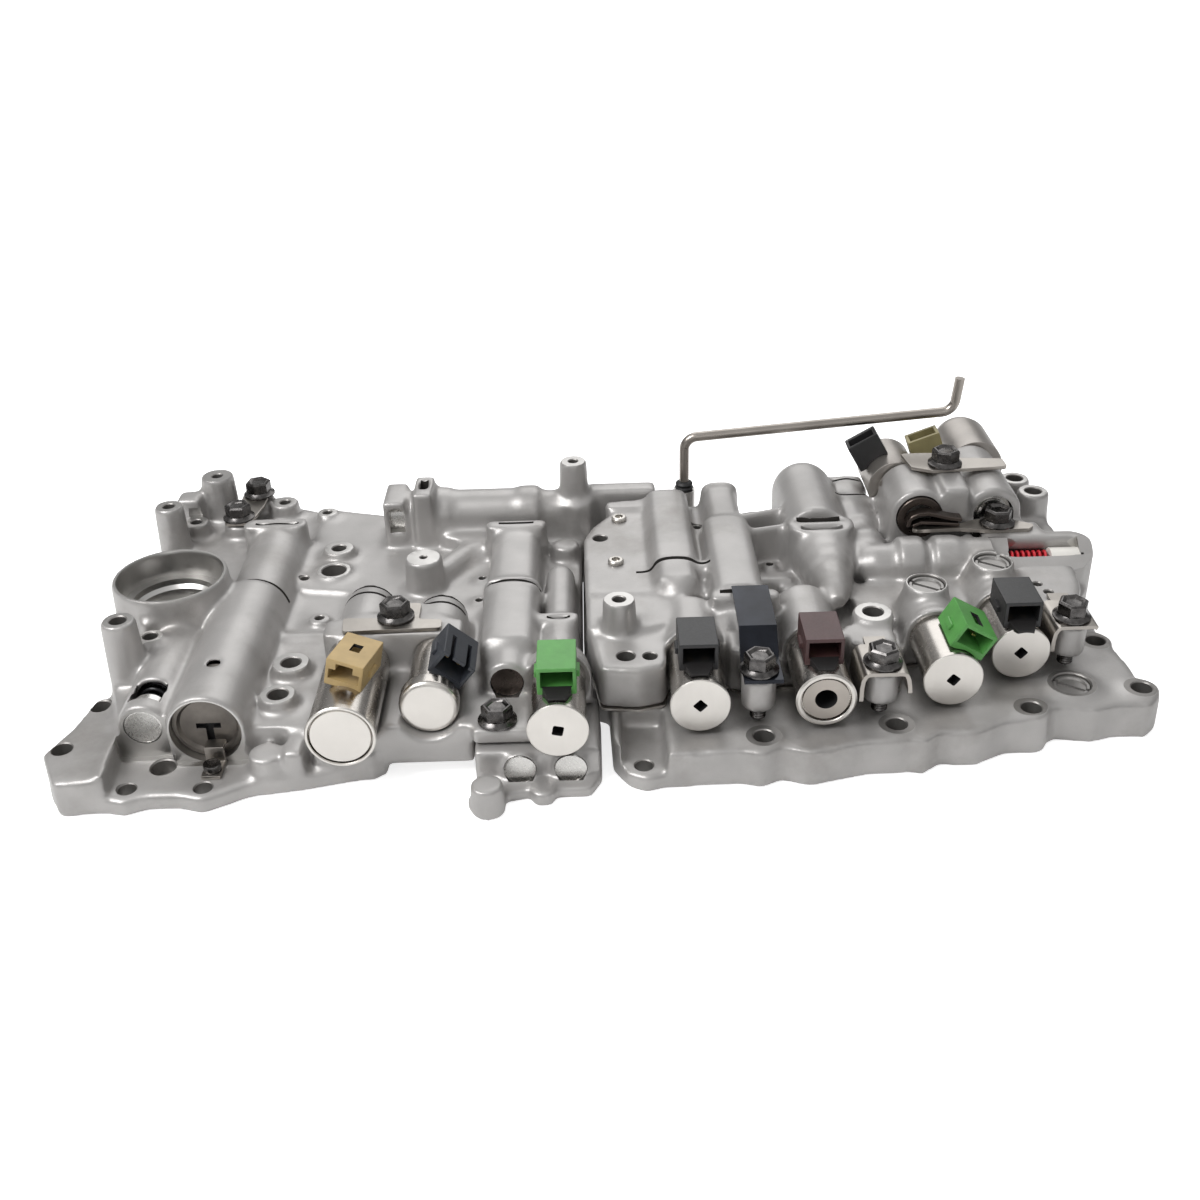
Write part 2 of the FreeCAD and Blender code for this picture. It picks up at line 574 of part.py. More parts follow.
base = [slab(BASE, 0, BASE_T), cyl_z(PLUG3[0], PLUG3[1], BASE_T - 1, BASE_T + 1.5, SCREW_PLUG_R + 2.5)]
for x, y in BASE_HOLES:
    base.append(post(x, y, 0, BASE_T + 0.8, MOUNT_HOLE_D / 2 + 2.8))
base_cuts = [block(OIL_POCKET[0], OIL_POCKET[1], OIL_POCKET[2], OIL_POCKET[3], PAD_T, BASE_T + 1),
             cyl_z(PLUG3[0], PLUG3[1], 4, BASE_T + 3, SCREW_PLUG_R),
             cyl_z(11, -57, -1, PAD_T + 1, BOLT_HOLE_D / 2)]
for x, y in BASE_HOLES:
    base_cuts.append(cyl_z(x, y, -1, BASE_T + 2, MOUNT_HOLE_D / 2))
for key in RIGHT_KEYS:
    x, seat, z, dia, length = SOLENOIDS[key][:5]
    base_cuts.append(cyl_y(x, z, seat - length - 40, seat, dia / 2 + 2.0))
base_casting = cut(fuse(base), base_cuts)
save("base_casting", base_casting)

# Right housing
LID = [(-4, -34), (10, -36), (20, -33), (22, -24), (44, -22), (52, -30), (64, -24), (88, -24), (94, -30),
       (108, -28),
       (112, -12), (138, -8), (142, 4), (166, 8), (168, -4), (180, -4), (186, 16), (196, 32), (198, 60),
       (197, 90), (198, 110), (192, 123), (181, 122), (178, 139), (153, 139), (151, 116), (112, 114),
       (66, 110),
       (45, 103), (43, 95), (25, 95), (23, 91), (-3, 91), (-5.5, 71), (-9, 62), (-9, 42), (-7.8, -6),
       (-6, -19)]
FRONT_SHELF = [(-7.8, -6), (-6, -19), (-4, -34), (10, -36), (20, -33), (22, -24), (24, -10), (24, 2),
               (-8, 2)]
MIDDLE_STEP = [(-8.2, -10), (10, -12), (21, -8), (24, 4), (24, 18), (-8.6, 18)]
FLANGE = [(-8.6, 14), (24, 14), (24, 84), (1.7, 83), (-5.5, 72), (-9, 62), (-9, 42)]
FIRST_X, FIRST_HALF = 27.4, 9.2
FIRST_SLOT_Y = 29.4    # stepped slot across the first bore
SECOND_X, SECOND_HALF = 50.8, 9.8
SECOND_KEY_Y = 3.0
DOME_X, DOME_R = 88.5, 13.5
DOME_KEY_Y = 55.0
FOURTH_X, FOURTH_R = 108.3, 8.4
FOURTH_KEY_Y = 87.5
FOURTH_ARCH_Y = 104.5
CROSS_Y = 41.0
BORE_TOP = LID_Z + 6.5
right = [
    slab(LID, SHEET_Z, FLOOR_Z),
    slab(FRONT_SHELF, SHEET_Z, SHELF_Z),
    slab(MIDDLE_STEP, SHEET_Z, STEP_Z),
    slab(FLANGE, SHEET_Z, LID_Z, 3),
    slab([(1, 84), (25, 84), (25, 94), (0, 91)], SHEET_Z, LID_Z + 2.5, 2.5),
    post(4.1, -8.3, SHEET_Z, LID_Z + 10, 6.3),
    # wall over the manual valve's bore, with the web of the stepped slot
    block(MANUAL_X - 7, MANUAL_X + 7, 16, 96, SHEET_Z, MANUAL_Z + MANUAL_D / 2 + 2.5),
    slab([(34, FIRST_SLOT_Y - 2.5), (43, FIRST_SLOT_Y - 2.5), (43, FIRST_SLOT_Y + 6),
          (34, FIRST_SLOT_Y + 4)], SHEET_Z,
         LID_Z + 3, 1.5),
    # first bore: body and drooping front hump
    arch_y(FIRST_X, BORE_TOP, FIRST_HALF, 4.5, FIRST_SLOT_Y, 94, SHEET_Z),
    arch_y(FIRST_X, BORE_TOP - 1.2, FIRST_HALF - 0.8, 4.5, 17, FIRST_SLOT_Y + 1, SHEET_Z),
    ball(FIRST_X, 17.5, BORE_TOP - 9.6, 8.4),
    # second bore: narrow tail with its end lip, wide body, plate of the front slot and the humps below it
    arch_y(SECOND_X, BORE_TOP - 0.6, SECOND_HALF - 2.4, 5, 64, 97, SHEET_Z),
    arch_y(SECOND_X, BORE_TOP + 0.6, SECOND_HALF - 1.4, 5, 95.5, 98.5, SHEET_Z),
    arch_y(SECOND_X, BORE_TOP + 0.4, SECOND_HALF, 5, 5, 66, SHEET_Z),
    slab([(39.5, SECOND_KEY_Y - 3.4), (65, SECOND_KEY_Y - 3.4), (66.5, SECOND_KEY_Y), (65, SECOND_KEY_Y + 4),
          (39.5, SECOND_KEY_Y + 4)], SHEET_Z, LID_Z + 4.6, 1.5),
    pipe((43, -14, 29), (46, 0, 33), 4.5),
    pipe((54, -16, 27), (51, 0, 34), 5.0),
    # closed dome with the raised flange of its slots
    housing_y(DOME_X, LID_Z - 1.5, DOME_R, 56, 102, SHEET_Z),
    ball(DOME_X, 102, LID_Z - 1.5, DOME_R),
    slab([(75.6, 50.5), (79, 46), (99, 46), (102.8, 50.5), (102.8, 57), (99, 60), (79, 60), (75.6, 57)],
         SHEET_Z,
         LID_Z + 8.4, 2.5),
    # fourth bore: rear slot plates, stepped neck and elbow into the cross passage
    housing_y(FOURTH_X, LID_Z - 5, FOURTH_R, 68, 109, SHEET_Z),
    slab([(99, FOURTH_ARCH_Y - 4), (117.6, FOURTH_ARCH_Y - 4), (117.6, 110), (99, 110)], SHEET_Z,
         LID_Z + 2.6, 2),
    slab([(98.6, FOURTH_KEY_Y - 2.8), (118.6, FOURTH_KEY_Y - 2.8), (118.6, FOURTH_KEY_Y + 2.6),
          (98.6, FOURTH_KEY_Y + 2.6)], SHEET_Z, LID_Z + 3.8, 2),
    housing_y(FOURTH_X, LID_Z - 5, FOURTH_R - 1.6, 56, 70, SHEET_Z),
    ball(FOURTH_X, 55, LID_Z - 5, FOURTH_R + 0.4),
    housing_y(FOURTH_X, LID_Z - 6, FOURTH_R - 0.4, CROSS_Y, 56, SHEET_Z),
    ball(FOURTH_X, CROSS_Y, LID_Z - 6, FOURTH_R - 0.4),
    housing_x(CROSS_Y, LID_Z - 6, FOURTH_R + 0.4, FOURTH_X, 150, SHEET_Z),
    post(100.3, -6.0, SHEET_Z, LID_Z, 7.9),
    # slanting webs from the second bore to the dome, and what stands between them
    rib((57, 69.5), (78, 76.5), SHEET_Z, LID_Z + 5, 3),
    rib((57, 57.5), (78, 62.5), SHEET_Z, LID_Z + 4, 3),
    post(68.4, 52.5, SHEET_Z, FLOOR_Z + 3.5, 3.3),
    block(60, 77, 40, 48, SHEET_Z, FLOOR_Z + 2.5),
    block(97, 119, 2, 33, SHEET_Z, FLOOR_Z + 4.5),
    block(119, 150, 10, 34, SHEET_Z, FLOOR_Z + 5.5),
    block(118, 143, 50, 60, SHEET_Z, FLOOR_Z + 6),
    rib((116, 74), (121, 74), SHEET_Z, LID_Z, 3),
]
# Stepped cone of the third bore, turned about its axis
CONE_X, CONE_Z = 89.8, LID_Z - 4.0
cone_steps = [(50, 12.6), (44, 12.6), (42.5, 11.8), (37, 11.4), (35.5, 10.4), (30, 10.0), (28.5, 8.8),
              (22, 7.8), (14, 5.6),
              (8, 3.0)]
right.append(turned([(50, 0)] + cone_steps + [(8, 0)], CONE_X, CONE_Z))
# Two swellings of the cross passage
for x in (124.0, 138.2):
    right.append(housing_x(CROSS_Y, LID_Z - 5.4, 11.2, x - 5.2, x + 5.2, SHEET_Z))
# Seats of the front solenoids and the screw plugs above two of them
for key, back in [("d", 9.0), ("e", 16.0), ("f", 12.0), ("g", 26.0)]:
    right += seat_collar(key, back, SHEET_Z)
PLUG1 = (123.2, 7.6)
PLUG2 = (152.7, 23.5)
for x, y in (PLUG1, PLUG2):
    right.append(post(x, y, SHEET_Z, LID_Z + 4, SCREW_PLUG_R + PLUG_RIM))
    right.append(Part.makeCone(13.5, 9.6, 12, V(x, y, SHEET_Z + 8)))
# Ears of the clamp bolts
EAR_TOP = LID_Z - 2.4
EAR_FOOT = LID_Z - EAR_H
EARS = [(53.0, -43.0, -22.0), (97.5, -40.5, -20.0), (173.5, -12.7, 6.0)]
for x, y, back in EARS:
    right.append(cyl_z(x, y, EAR_FOOT, EAR_TOP, EAR_R))
    right.append(block(x - EAR_R + 0.9, x + EAR_R - 0.9, y, back, EAR_FOOT + 3, EAR_TOP))
    right.append(block(x - 9, x + 9, back - 4, back + 10, SHEET_Z, EAR_TOP))
right.append(slab([(162, 2), (180, -2), (186, 14), (188, 30), (164, 30)], SHEET_Z, EAR_TOP, 3))
# Relay housing, rear solenoid housings and the two rear bosses
BLOCK_TOP = LID_Z + 20
RELAY_TOP = LID_Z + 4
right += [
    housing_x(RELAY_Y, RELAY_Z, 10.5, RELAY_X0, RELAY_X1 - 4, SHEET_Z),
    slab([(146, 31.5), (RELAY_X1 - 4, 31.5), (RELAY_X1 + 1, 36), (RELAY_X1 + 1, 46), (RELAY_X1 - 4, 51),
          (146, 51)],
         SHEET_Z, RELAY_Z + 9, 4),
    block(152, 180, 46, 58, SHEET_Z, RELAY_TOP),
    housing_y(BACK_X, BACK_Z, 12.0, 57, 86, SHEET_Z),
    housing_y(END_X, END_Z, 12.0, 58, 104, SHEET_Z),
    block(140, 151, 56, 86, SHEET_Z, BLOCK_TOP),
    block(156, 174, 103, 139, SHEET_Z, END_Z - END_CAN_D / 2 - 0.1),
    post(187.5, 116, SHEET_Z, LID_Z - 4, 6.8),
    post(190.6, 98, SHEET_Z, LID_Z - 2, 7.0),
]
REAR_BOLT = (144.5, 78.0)
LEVER_BOLT = (162.0, 53.0)
right_cuts = [
    cyl_z(4.1, -8.3, LID_Z - 4, LID_Z + 11, 2.4),
    cyl_z(5.9, -26.0, SHEET_Z - 1, SHELF_Z + 1, 3.4),
    cyl_z(14.8, -26.5, SHEET_Z - 1, SHELF_Z + 1, 2.6),
    cyl_z(-2.2, 60.9, SHEET_Z - 1, LID_Z + 1, 3.0),
    cyl_z(39.2, 74.0, MANUAL_Z, LID_Z, 2.0),
    cyl_z(68.4, 52.5, FLOOR_Z, FLOOR_Z + 5, 1.5),
    cyl_z(100.3, -6.0, SHEET_Z - 1, LID_Z + 1, 3.8),
    cyl_z(187.5, 116, SHEET_Z - 1, LID_Z + 1, 3.6),
    cyl_z(190.6, 98, SHEET_Z - 1, LID_Z + 1, 3.6),
    cyl_z(169.0, 15.5, EAR_TOP - 6, EAR_TOP + 1, 1.7),
    cyl_z(171.5, 9.0, EAR_TOP - 6, EAR_TOP + 1, 1.7),
    cyl_y(MANUAL_X, MANUAL_Z, 20, 100, MANUAL_D / 2 + RUN_GAP),
    cyl_x(RELAY_Y, RELAY_Z, RELAY_X0 - 1, RELAY_X1 - 3, RELAY_D / 2),
    block(164, RELAY_X1 - 4.5, RELAY_Y - 3.2, RELAY_Y + 3.2, RELAY_Z, LID_Z + 10),
    block(151.5, 154.5, 46, 52, LID_Z - 6, RELAY_TOP + 1),
    cyl_y(BACK_X, BACK_Z, 50, 80, 9.6),
    cyl_y(BACK_CAN_X, BACK_Z, 80.4, 87, 7.15),
    cyl_y(BACK_CAN_X, BACK_Z, 86, 120, BACK_CAN_D / 2 + 0.4),
    cyl_y(END_CAN_X, END_Z, 104, 145, END_CAN_D / 2 + 0.4),
    cyl_y(END_X, END_Z, 57, 70, 8.4),
    # slots across the bores, from the first to the fourth
    block(11.8, FIRST_X - FIRST_HALF, FIRST_SLOT_Y, FIRST_SLOT_Y + SLOT_W, LID_Z - 2, LID_Z + 2),
    groove(FIRST_X, LID_Z - 5, FIRST_SLOT_Y, FIRST_SLOT_Y + SLOT_W, 8.2, 16, LID_Z - 2),
    block(43, 58.6, SECOND_KEY_Y, SECOND_KEY_Y + SLOT_W, LID_Z - 1, LID_Z + 8),
    block(79.4, 97.4, DOME_KEY_Y, DOME_KEY_Y + SLOT_W + 1.6, LID_Z, LID_Z + 12),
    block(80.4, 97.6, 48.4, 51.0, LID_Z + 1, LID_Z + 12),
    block(100.8, 114.4, FOURTH_KEY_Y, FOURTH_KEY_Y + SLOT_W, LID_Z - 1, LID_Z + 8),
    groove(FOURTH_X, LID_Z - 7, FOURTH_ARCH_Y, FOURTH_ARCH_Y + SLOT_W, 7.6, 14, LID_Z - 2),
    # pockets in front of the dome's webs and behind the second slot's plate
    block(61.6, 71.5, 34.5, 39.5, SHEET_Z + 3, LID_Z),
]
for x, y in (PLUG1, PLUG2):
    right_cuts.append(cyl_z(x, y, LID_Z - 2.5, LID_Z + 5, SCREW_PLUG_R))
for x, y, back in EARS:
    right_cuts.append(cyl_z(x, y, EAR_FOOT - 1, EAR_TOP + 1, BOLT_HOLE_D / 2))
right_cuts.append(cyl_z(REAR_BOLT[0], REAR_BOLT[1], BLOCK_TOP - 12, BLOCK_TOP + 1, TAPPED_R))
right_cuts.append(cyl_z(LEVER_BOLT[0], LEVER_BOLT[1], RELAY_TOP - 6, RELAY_TOP + 1, TAPPED_R))
right_cuts += can_clearance(RIGHT_KEYS)
right_casting = cut(fuse(right), right_cuts)
save("right_casting", right_casting)
sheet_cuts = []
for key in RIGHT_KEYS:
    x, seat, z, dia, length = SOLENOIDS[key][:5]
    sheet_cuts.append(cyl_y(x, z, seat - length - 20, seat + SNOUT_L, dia / 2 + CAN_AIR))
save("separator_sheet", cut(slab(LID, BASE_T, SHEET_Z), sheet_cuts))

# Small lower housing under the deck
under = [slab([(-48, -60), (-52, -70), (-48, -77), (-41, -77), (-38, -68), (-30, -66), (-8, -66), (-4, -58),
               (-4, -24),
               (-46, -24)], 0, 4.5),
         block(UNDER[0] + 0.6, -4.4, -58, -24, 0, BASE_T - 0.3),
         post(-44.3, -71.5, 0, 12, 5.8), post(-25, -66, 0, 5.5, 4.5)]
under += [housing_y(x, LOW_Z, LOW_BORE_D / 2 + 0.4, -60, -24, 2) for x in LOW_BORES]
under_cuts = [cyl_y(x, LOW_Z, -61, -40, LOW_BORE_D / 2) for x in LOW_BORES]
under_casting = cut(fuse(under), under_cuts)
save("under_casting", under_casting)


# Flange bolts: hexagon head on a round flange, plain shank
def flange_bolt(x, y, seat, depth):
    """Bolt whose flange lies on the level seat and whose shank goes down by depth."""
    corners = [V(HEX_AF / math.sqrt(3) * math.cos(math.radians(60 * i)),
                 HEX_AF / math.sqrt(3) * math.sin(math.radians(60 * i)), WASHER_T) for i in range(6)]
    head = Part.Face(Part.makePolygon(corners + [corners[0]])).extrude(V(0, 0, HEX_H))
    profile = [V(0, 0, -depth), V(BOLT_D / 2, 0, -depth), V(BOLT_D / 2, 0, 0), V(WASHER_D / 2, 0, 0),
               V(WASHER_D / 2, 0, WASHER_T * 0.6), V(HEX_AF / 2, 0, WASHER_T + 0.4), V(0, 0, WASHER_T + 0.4)]
    stem = Part.Face(Part.makePolygon(profile + [profile[0]])).revolve(V(0, 0, 0), V(0, 0, 1), 360)
    bolt = head.fuse(stem)
    bolt.translate(V(x, y, seat))
    return bolt


STRAP_TOP = EAR_TOP + STRAP_T
LEFT_TAB_BOLTS = [(-166.0, 111.5), (-161.5, 136.0)]
bolts = [flange_bolt(x, y, STRAP_TOP, EAR_H + 4) for x, y, back in EARS]
bolts.append(flange_bolt(T_BOLT[0], T_BOLT[1], LID_Z + STRAP_T, 12))
bolts.append(flange_bolt(CENTRE_BOLT[0], CENTRE_BOLT[1], DECK_T, 6))
bolts += [flange_bolt(x, y, TAB_SEAT + STRAP_T, 8) for x, y in LEFT_TAB_BOLTS]
bolts.append(flange_bolt(REAR_BOLT[0], REAR_BOLT[1], BLOCK_TOP + STRAP_T, 12))
bolts.append(flange_bolt(LEVER_BOLT[0], LEVER_BOLT[1], RELAY_TOP + STRAP_T, 5))
save("flange_bolts", Part.makeCompound(bolts))


def sheet_part(outline, z, holes, radius=1.5):
    """Flat clamp of sheet steel lying on the level z."""
    plate = slab(outline, z, z + STRAP_T, radius)
    return cut(plate, [cyl_z(x, y, z - 1, z + STRAP_T + 1, BOLT_HOLE_D / 2) for x, y in holes])


save("left_retainer_plate", sheet_part(
    [(-101, -2), (-100, -12), (-63, -11), (-63, -5), (-72, -4), (-72, 8), (-83, 8), (-83, -3)],
    LID_Z, [T_BOLT]))


def strap(x, y, side):
    """Clamp on an ear: a flat part under the bolt and a wing bent down beside the can."""
    z = EAR_TOP
    half = EAR_R + 0.6
    flat = block(x - half, x + half, y - half, y + 12, z, z + STRAP_T)
    wing_x = x + half if side > 0 else x - half - STRAP_T
    wing = block(wing_x, wing_x + STRAP_T, y - 5, y + 12, z - 10, z + STRAP_T)
    tongue = block(x - 4, x + 4, y + 11, y + 19, z, z + STRAP_T)
    hole = cyl_z(x, y, z - 1, z + STRAP_T + 1, BOLT_HOLE_D / 2)
    return cut(fuse([flat, wing, tongue]), [hole])


save("clamp_strap_middle", strap(EARS[1][0], EARS[1][1], 1))
save("clamp_strap_right", strap(EARS[2][0], EARS[2][1], -1))

# Sprung harness clip: a strip that rises from the bolt and lies over the second bore
clip_x = EARS[0][0]
z = EAR_TOP
profile = [V(0, -50, z), V(0, -34, z), V(0, -26, LID_Z + 6.5), V(0, 0, LID_Z + 7.5), V(0, 3, LID_Z + 5.8),
           V(0, 4.6, LID_Z + 5.8), V(0, 1.0, LID_Z + 9.0), V(0, -27, LID_Z + 8.0), V(0, -35, z + STRAP_T),
           V(0, -50, z + STRAP_T)]
clip = Part.Face(Part.makePolygon(profile + [profile[0]])).extrude(V(14, 0, 0))
clip.translate(V(clip_x - 6, 0, 0))
clip = clip.cut(cyl_z(clip_x, EARS[0][1], z - 1, z + 3, BOLT_HOLE_D / 2))
save("harness_clip", clip)

save("rear_clamp_plate", sheet_part(
    [(128, 90), (130, 76), (138, 72), (170, 74), (170, 82), (152, 84), (150, 89), (138, 90)],
    BLOCK_TOP, [REAR_BOLT]))
save("lever_plate", sheet_part(
    [(126, 50.5), (130, 54.0), (146, 53.5), (155, 57.5), (168, 56.5), (177, 51), (174, 47.5), (158, 46.8),
     (146, 49.5), (128, 49)], RELAY_TOP, [LEVER_BOLT]))

# Rear solenoid parts
hook_ring = cyl_y(BACK_X, BACK_Z, 55.8, 59.5, 9.2).cut(cyl_y(BACK_X, BACK_Z, 53, 58, 6.0))
save("lever_retainer", hook_ring.fuse(block(128, 146, 51.5, 56, RELAY_TOP + STRAP_T, RELAY_TOP + 7)))
ring_profile = [V(0, 66, 0), V(0, 63, 0), V(4.5, 63, 0), V(4.5, 60, 0), V(6, 60, 0), V(6, 61.5, 0),
                V(8, 61.5, 0),
                V(8, 66, 0)]
ring = Part.Face(Part.makePolygon(ring_profile + [ring_profile[0]])).revolve(V(0, 0, 0), V(0, 1, 0), 360)
ring.translate(V(END_X, 0, END_Z))
save("pressure_plug", ring)
can = cyl_y(BACK_CAN_X, BACK_Z, 86.2, 113.0, BACK_CAN_D / 2).fuse(cyl_y(BACK_CAN_X, BACK_Z, 81, 86.3,
                                                                        SNOUT_D / 2))
save("solenoid_h_can", can)
END_R = END_CAN_D / 2
dome = turned([(104.2, 0), (104.2, END_R), (132, END_R), (136, END_R - 1.1), (139.2, END_R - 5), (140.4, 0)],
              END_CAN_X, END_Z)
save("solenoid_i_can", dome)


def rear_connector(x, y, z, lean):
    """Connector shell on a short neck that leans away from its can."""
    shell = block(-PLUG_W / 2, PLUG_W / 2, -4.5, 4.5, 0, 13)
    inner = PLUG_W / 2 - PLUG_WALL
    shell = shell.cut(block(-inner, inner, -3.0, 3.0, 4, 14))
    shell.rotate(V(0, 0, 0), V(0, 1, 0), lean)
    shell.translate(V(x, y, z))
    return shell


black_seat = cyl_y(BACK_CAN_X, BACK_Z, 80, 120, BACK_CAN_D / 2 + PLUG_SEAT)
black = rear_connector(119.0, 100.0, 52.0, -30.0).cut(black_seat)
save("solenoid_h_connector", black)
olive = rear_connector(144.5, 104.0, 50.0, -20.0).fuse(block(144, 156, 104.3, 107, 47, 53))
olive = olive.cut(cyl_y(END_CAN_X, END_Z, 80, 140, END_R + PLUG_SEAT)).cut(black_seat)
save("solenoid_i_connector", olive)

# Screw plugs with a slot across the top
slotted = []
for x, y, foot, top in [(PLUG1[0], PLUG1[1], LID_Z - 2.5, LID_Z + 3),
                        (PLUG2[0], PLUG2[1], LID_Z - 2.5, LID_Z + 3),
                        (PLUG3[0], PLUG3[1], 4, BASE_T + 0.6)]:
    plug = cyl_z(x, y, foot, top, SCREW_PLUG_R - 0.1)
    driver = block(-SCREW_PLUG_R, SCREW_PLUG_R, -0.7, 0.7, -1.4, 1)
    driver.rotate(V(0, 0, 0), V(0, 0, 1), -35)
    driver.translate(V(x, y, top))
    slotted.append(plug.cut(driver))
save("slotted_plugs", Part.makeCompound(slotted))

# Small round-headed screws of the right flange
screws = []
for x, y in [(6.2, 77.2), (3.9, 38.5)]:
    screws.append(cyl_z(x, y, LID_Z, LID_Z + 1.6, 3.2))
save("flange_screws", Part.makeCompound(screws))

# Retaining keys in the slots across the bores
keys = [block(x0 + KEY_GAP, x1 - KEY_GAP, y + KEY_GAP, y + SLOT_W - KEY_GAP, foot + KEY_GAP, top)
        for x0, x1, y, foot, top in [(79.4, 97.4, DOME_KEY_Y + 0.6, LID_Z, LID_Z + 6.5),
                                     (100.8, 114.4, FOURTH_KEY_Y, LID_Z - 1, LID_Z + 2.4),
                                     (43, 58.6, SECOND_KEY_Y, LID_Z - 1, LID_Z + 3.4)]]
save("bore_keys", Part.makeCompound(keys))

# Plugs of the left bores
save("damper_plug", cyl_y(DAMPER_X, LEFT_BORE_Z, DAMPER_Y + 0.3, DAMPER_Y + 5, DAMPER_R - 0.1))
piston = cyl_y(DAMPER_X, LEFT_BORE_Z, DAMPER_Y + 5.3, DAMPER_Y + 12, DAMPER_R - RUN_GAP)
save("damper_piston", piston)
spring = cyl_y(DAMPER_X, LEFT_BORE_Z, DAMPER_Y + 12.1, DAMPER_END - 0.2, 5.8).cut(
    cyl_y(DAMPER_X, LEFT_BORE_Z, DAMPER_Y, DAMPER_END + 1, 4.2))
save("damper_spring", spring)

face_y = ACCU_Y + PISTON_IN
piston = cyl_y(ACCU_X, LEFT_BORE_Z, face_y, face_y + PISTON_L, ACCU_R - RUN_GAP)
piston = piston.cut(cyl_y(ACCU_X, LEFT_BORE_Z, face_y + 5, face_y + PISTON_L + 1, ACCU_R - 3))
piston = piston.cut(block(ACCU_X - 4.5, ACCU_X + 4.5, face_y - 1, face_y + 2, LEFT_BORE_Z - 1.5,
                          LEFT_BORE_Z + 0.5))
save("accumulator_piston", piston)
spring = cyl_y(ACCU_X, LEFT_BORE_Z, face_y + 5.1, ACCU_END - 0.2, 9.5).cut(
    cyl_y(ACCU_X, LEFT_BORE_Z, face_y, ACCU_END + 1, 7.5))
save("accumulator_spring", spring)
clip_profile = [V(0, -58, PAD_T), V(0, ACCU_Y - 0.6, PAD_T), V(0, ACCU_Y - 0.6, 13), V(0, face_y - 0.3, 13),
                V(0, face_y - 0.3, 14.5), V(0, ACCU_Y - 2.1, 14.5), V(0, ACCU_Y - 2.1, PAD_T + 1.5),
                V(0, -58, PAD_T + 1.5)]
clip = Part.Face(Part.makePolygon(clip_profile + [clip_profile[0]])).extrude(V(7, 0, 0))
clip.translate(V(ACCU_X - 1, 0, 0))
clip = clip.cut(cyl_z(CLIP_SCREW[0], CLIP_SCREW[1], PAD_T - 1, PAD_T + 3, 1.6))
save("accumulator_clip", clip)

save("centre_plug", cyl_y(CENTRE_X, MID_Z, -30.6, -24.1, CENTRE_BORE_D / 2 - 0.1))
save("under_plugs", Part.makeCompound([cyl_y(x, LOW_Z, -60.5, -50,
                                             LOW_BORE_D / 2 - 0.1) for x in LOW_BORES]))

# Small bracket between the two dark bolts at the far left
save("tab_bracket", sheet_part([(-172, 106), (-160, 106), (-157, 124), (-157, 142), (-169, 142),
                                (-169, 124)],
                               TAB_SEAT, LEFT_TAB_BOLTS))

# Relay valve
SPOOL_X1 = RELAY_X1 - 4
save("relay_spool", cyl_x(RELAY_Y, RELAY_Z, SPOOL_X1 - SPOOL_L, SPOOL_X1, RELAY_D / 2 - RUN_GAP))
spring_x1 = SPOOL_X1 - 0.1 - SPOOL_L
spring = cyl_x(RELAY_Y, RELAY_Z, spring_x1 - SPRING_L, spring_x1, 4.6).cut(
    cyl_x(RELAY_Y, RELAY_Z, spring_x1 - SPRING_L - 1, spring_x1 + 1, 3.4))
save("relay_spring", spring)
save("relay_stop", cyl_x(RELAY_Y, RELAY_Z, RELAY_X0 + 2, spring_x1 - SPRING_L - 0.1, RELAY_D / 2 - RUN_GAP))

# Manual valve: spool with two lands and an upright eye for the link rod
EYE_TOP = LID_Z + 1
LAND_R, NECK_R = MANUAL_D / 2, MANUAL_NECK_D / 2
spool = turned([(24, 0), (24, LAND_R - 0.5), (30, LAND_R), (44, LAND_R), (44, NECK_R), (62, NECK_R),
                (62, LAND_R),
                (MANUAL_EYE_Y - 3, LAND_R), (MANUAL_EYE_Y - 3, 0)], MANUAL_X, MANUAL_Z)
spool = spool.fuse(cyl_z(MANUAL_X, MANUAL_EYE_Y, MANUAL_Z - LAND_R - 0.6, EYE_TOP, EYE_D / 2))
spool = spool.cut(cyl_z(MANUAL_X, MANUAL_EYE_Y, MANUAL_Z - 3, EYE_TOP + 1, ROD_D / 2 + RUN_GAP))
save("manual_valve", spool)

# Link rod: upright leg in the eye, long level run, upturned tip
foot = V(MANUAL_X, MANUAL_EYE_Y, MANUAL_Z - 2.9)
knee = V(MANUAL_X, MANUAL_EYE_Y, ROD_TOP)
elbow = V(ROD_END_X, MANUAL_EYE_Y, ROD_TOP + ROD_RISE)
tip = V(ROD_END_X + 1.5, MANUAL_EYE_Y, ROD_TOP + ROD_RISE + ROD_TIP)


def bent_rod(points, bend, radius):
    """Round bar along straight runs joined by tangent bends."""
    edges = []
    start = points[0]
    for i in range(1, len(points) - 1):
        q = points[i]
        back, ahead = points[i - 1] - q, points[i + 1] - q
        back.normalize()
        ahead.normalize()
        half = back.getAngle(ahead) / 2
        length = bend / math.tan(half)
        inward = back + ahead
        inward.normalize()
        middle = q + inward * (length / math.cos(half) - bend)
        edges.append(segment(start, q + back * length))
        edges.append(Part.Arc(q + back * length, middle, q + ahead * length).toShape())
        start = q + ahead * length
    edges.append(segment(start, points[-1]))
    path = Part.Wire(edges)
    direction = points[1] - points[0]
    ring = Part.Wire([Part.makeCircle(radius, points[0], direction)])
    return path.makePipeShell([ring], True, False)


save("link_rod", bent_rod([foot, knee, elbow, tip], ROD_BEND_R, ROD_D / 2))
grommet = cyl_z(MANUAL_X, MANUAL_EYE_Y, EYE_TOP + 0.3, EYE_TOP + 4, GROMMET_D / 2).cut(
    cyl_z(MANUAL_X, MANUAL_EYE_Y, EYE_TOP, EYE_TOP + 5, ROD_D / 2 + RUN_GAP))
save("rod_grommet", grommet)

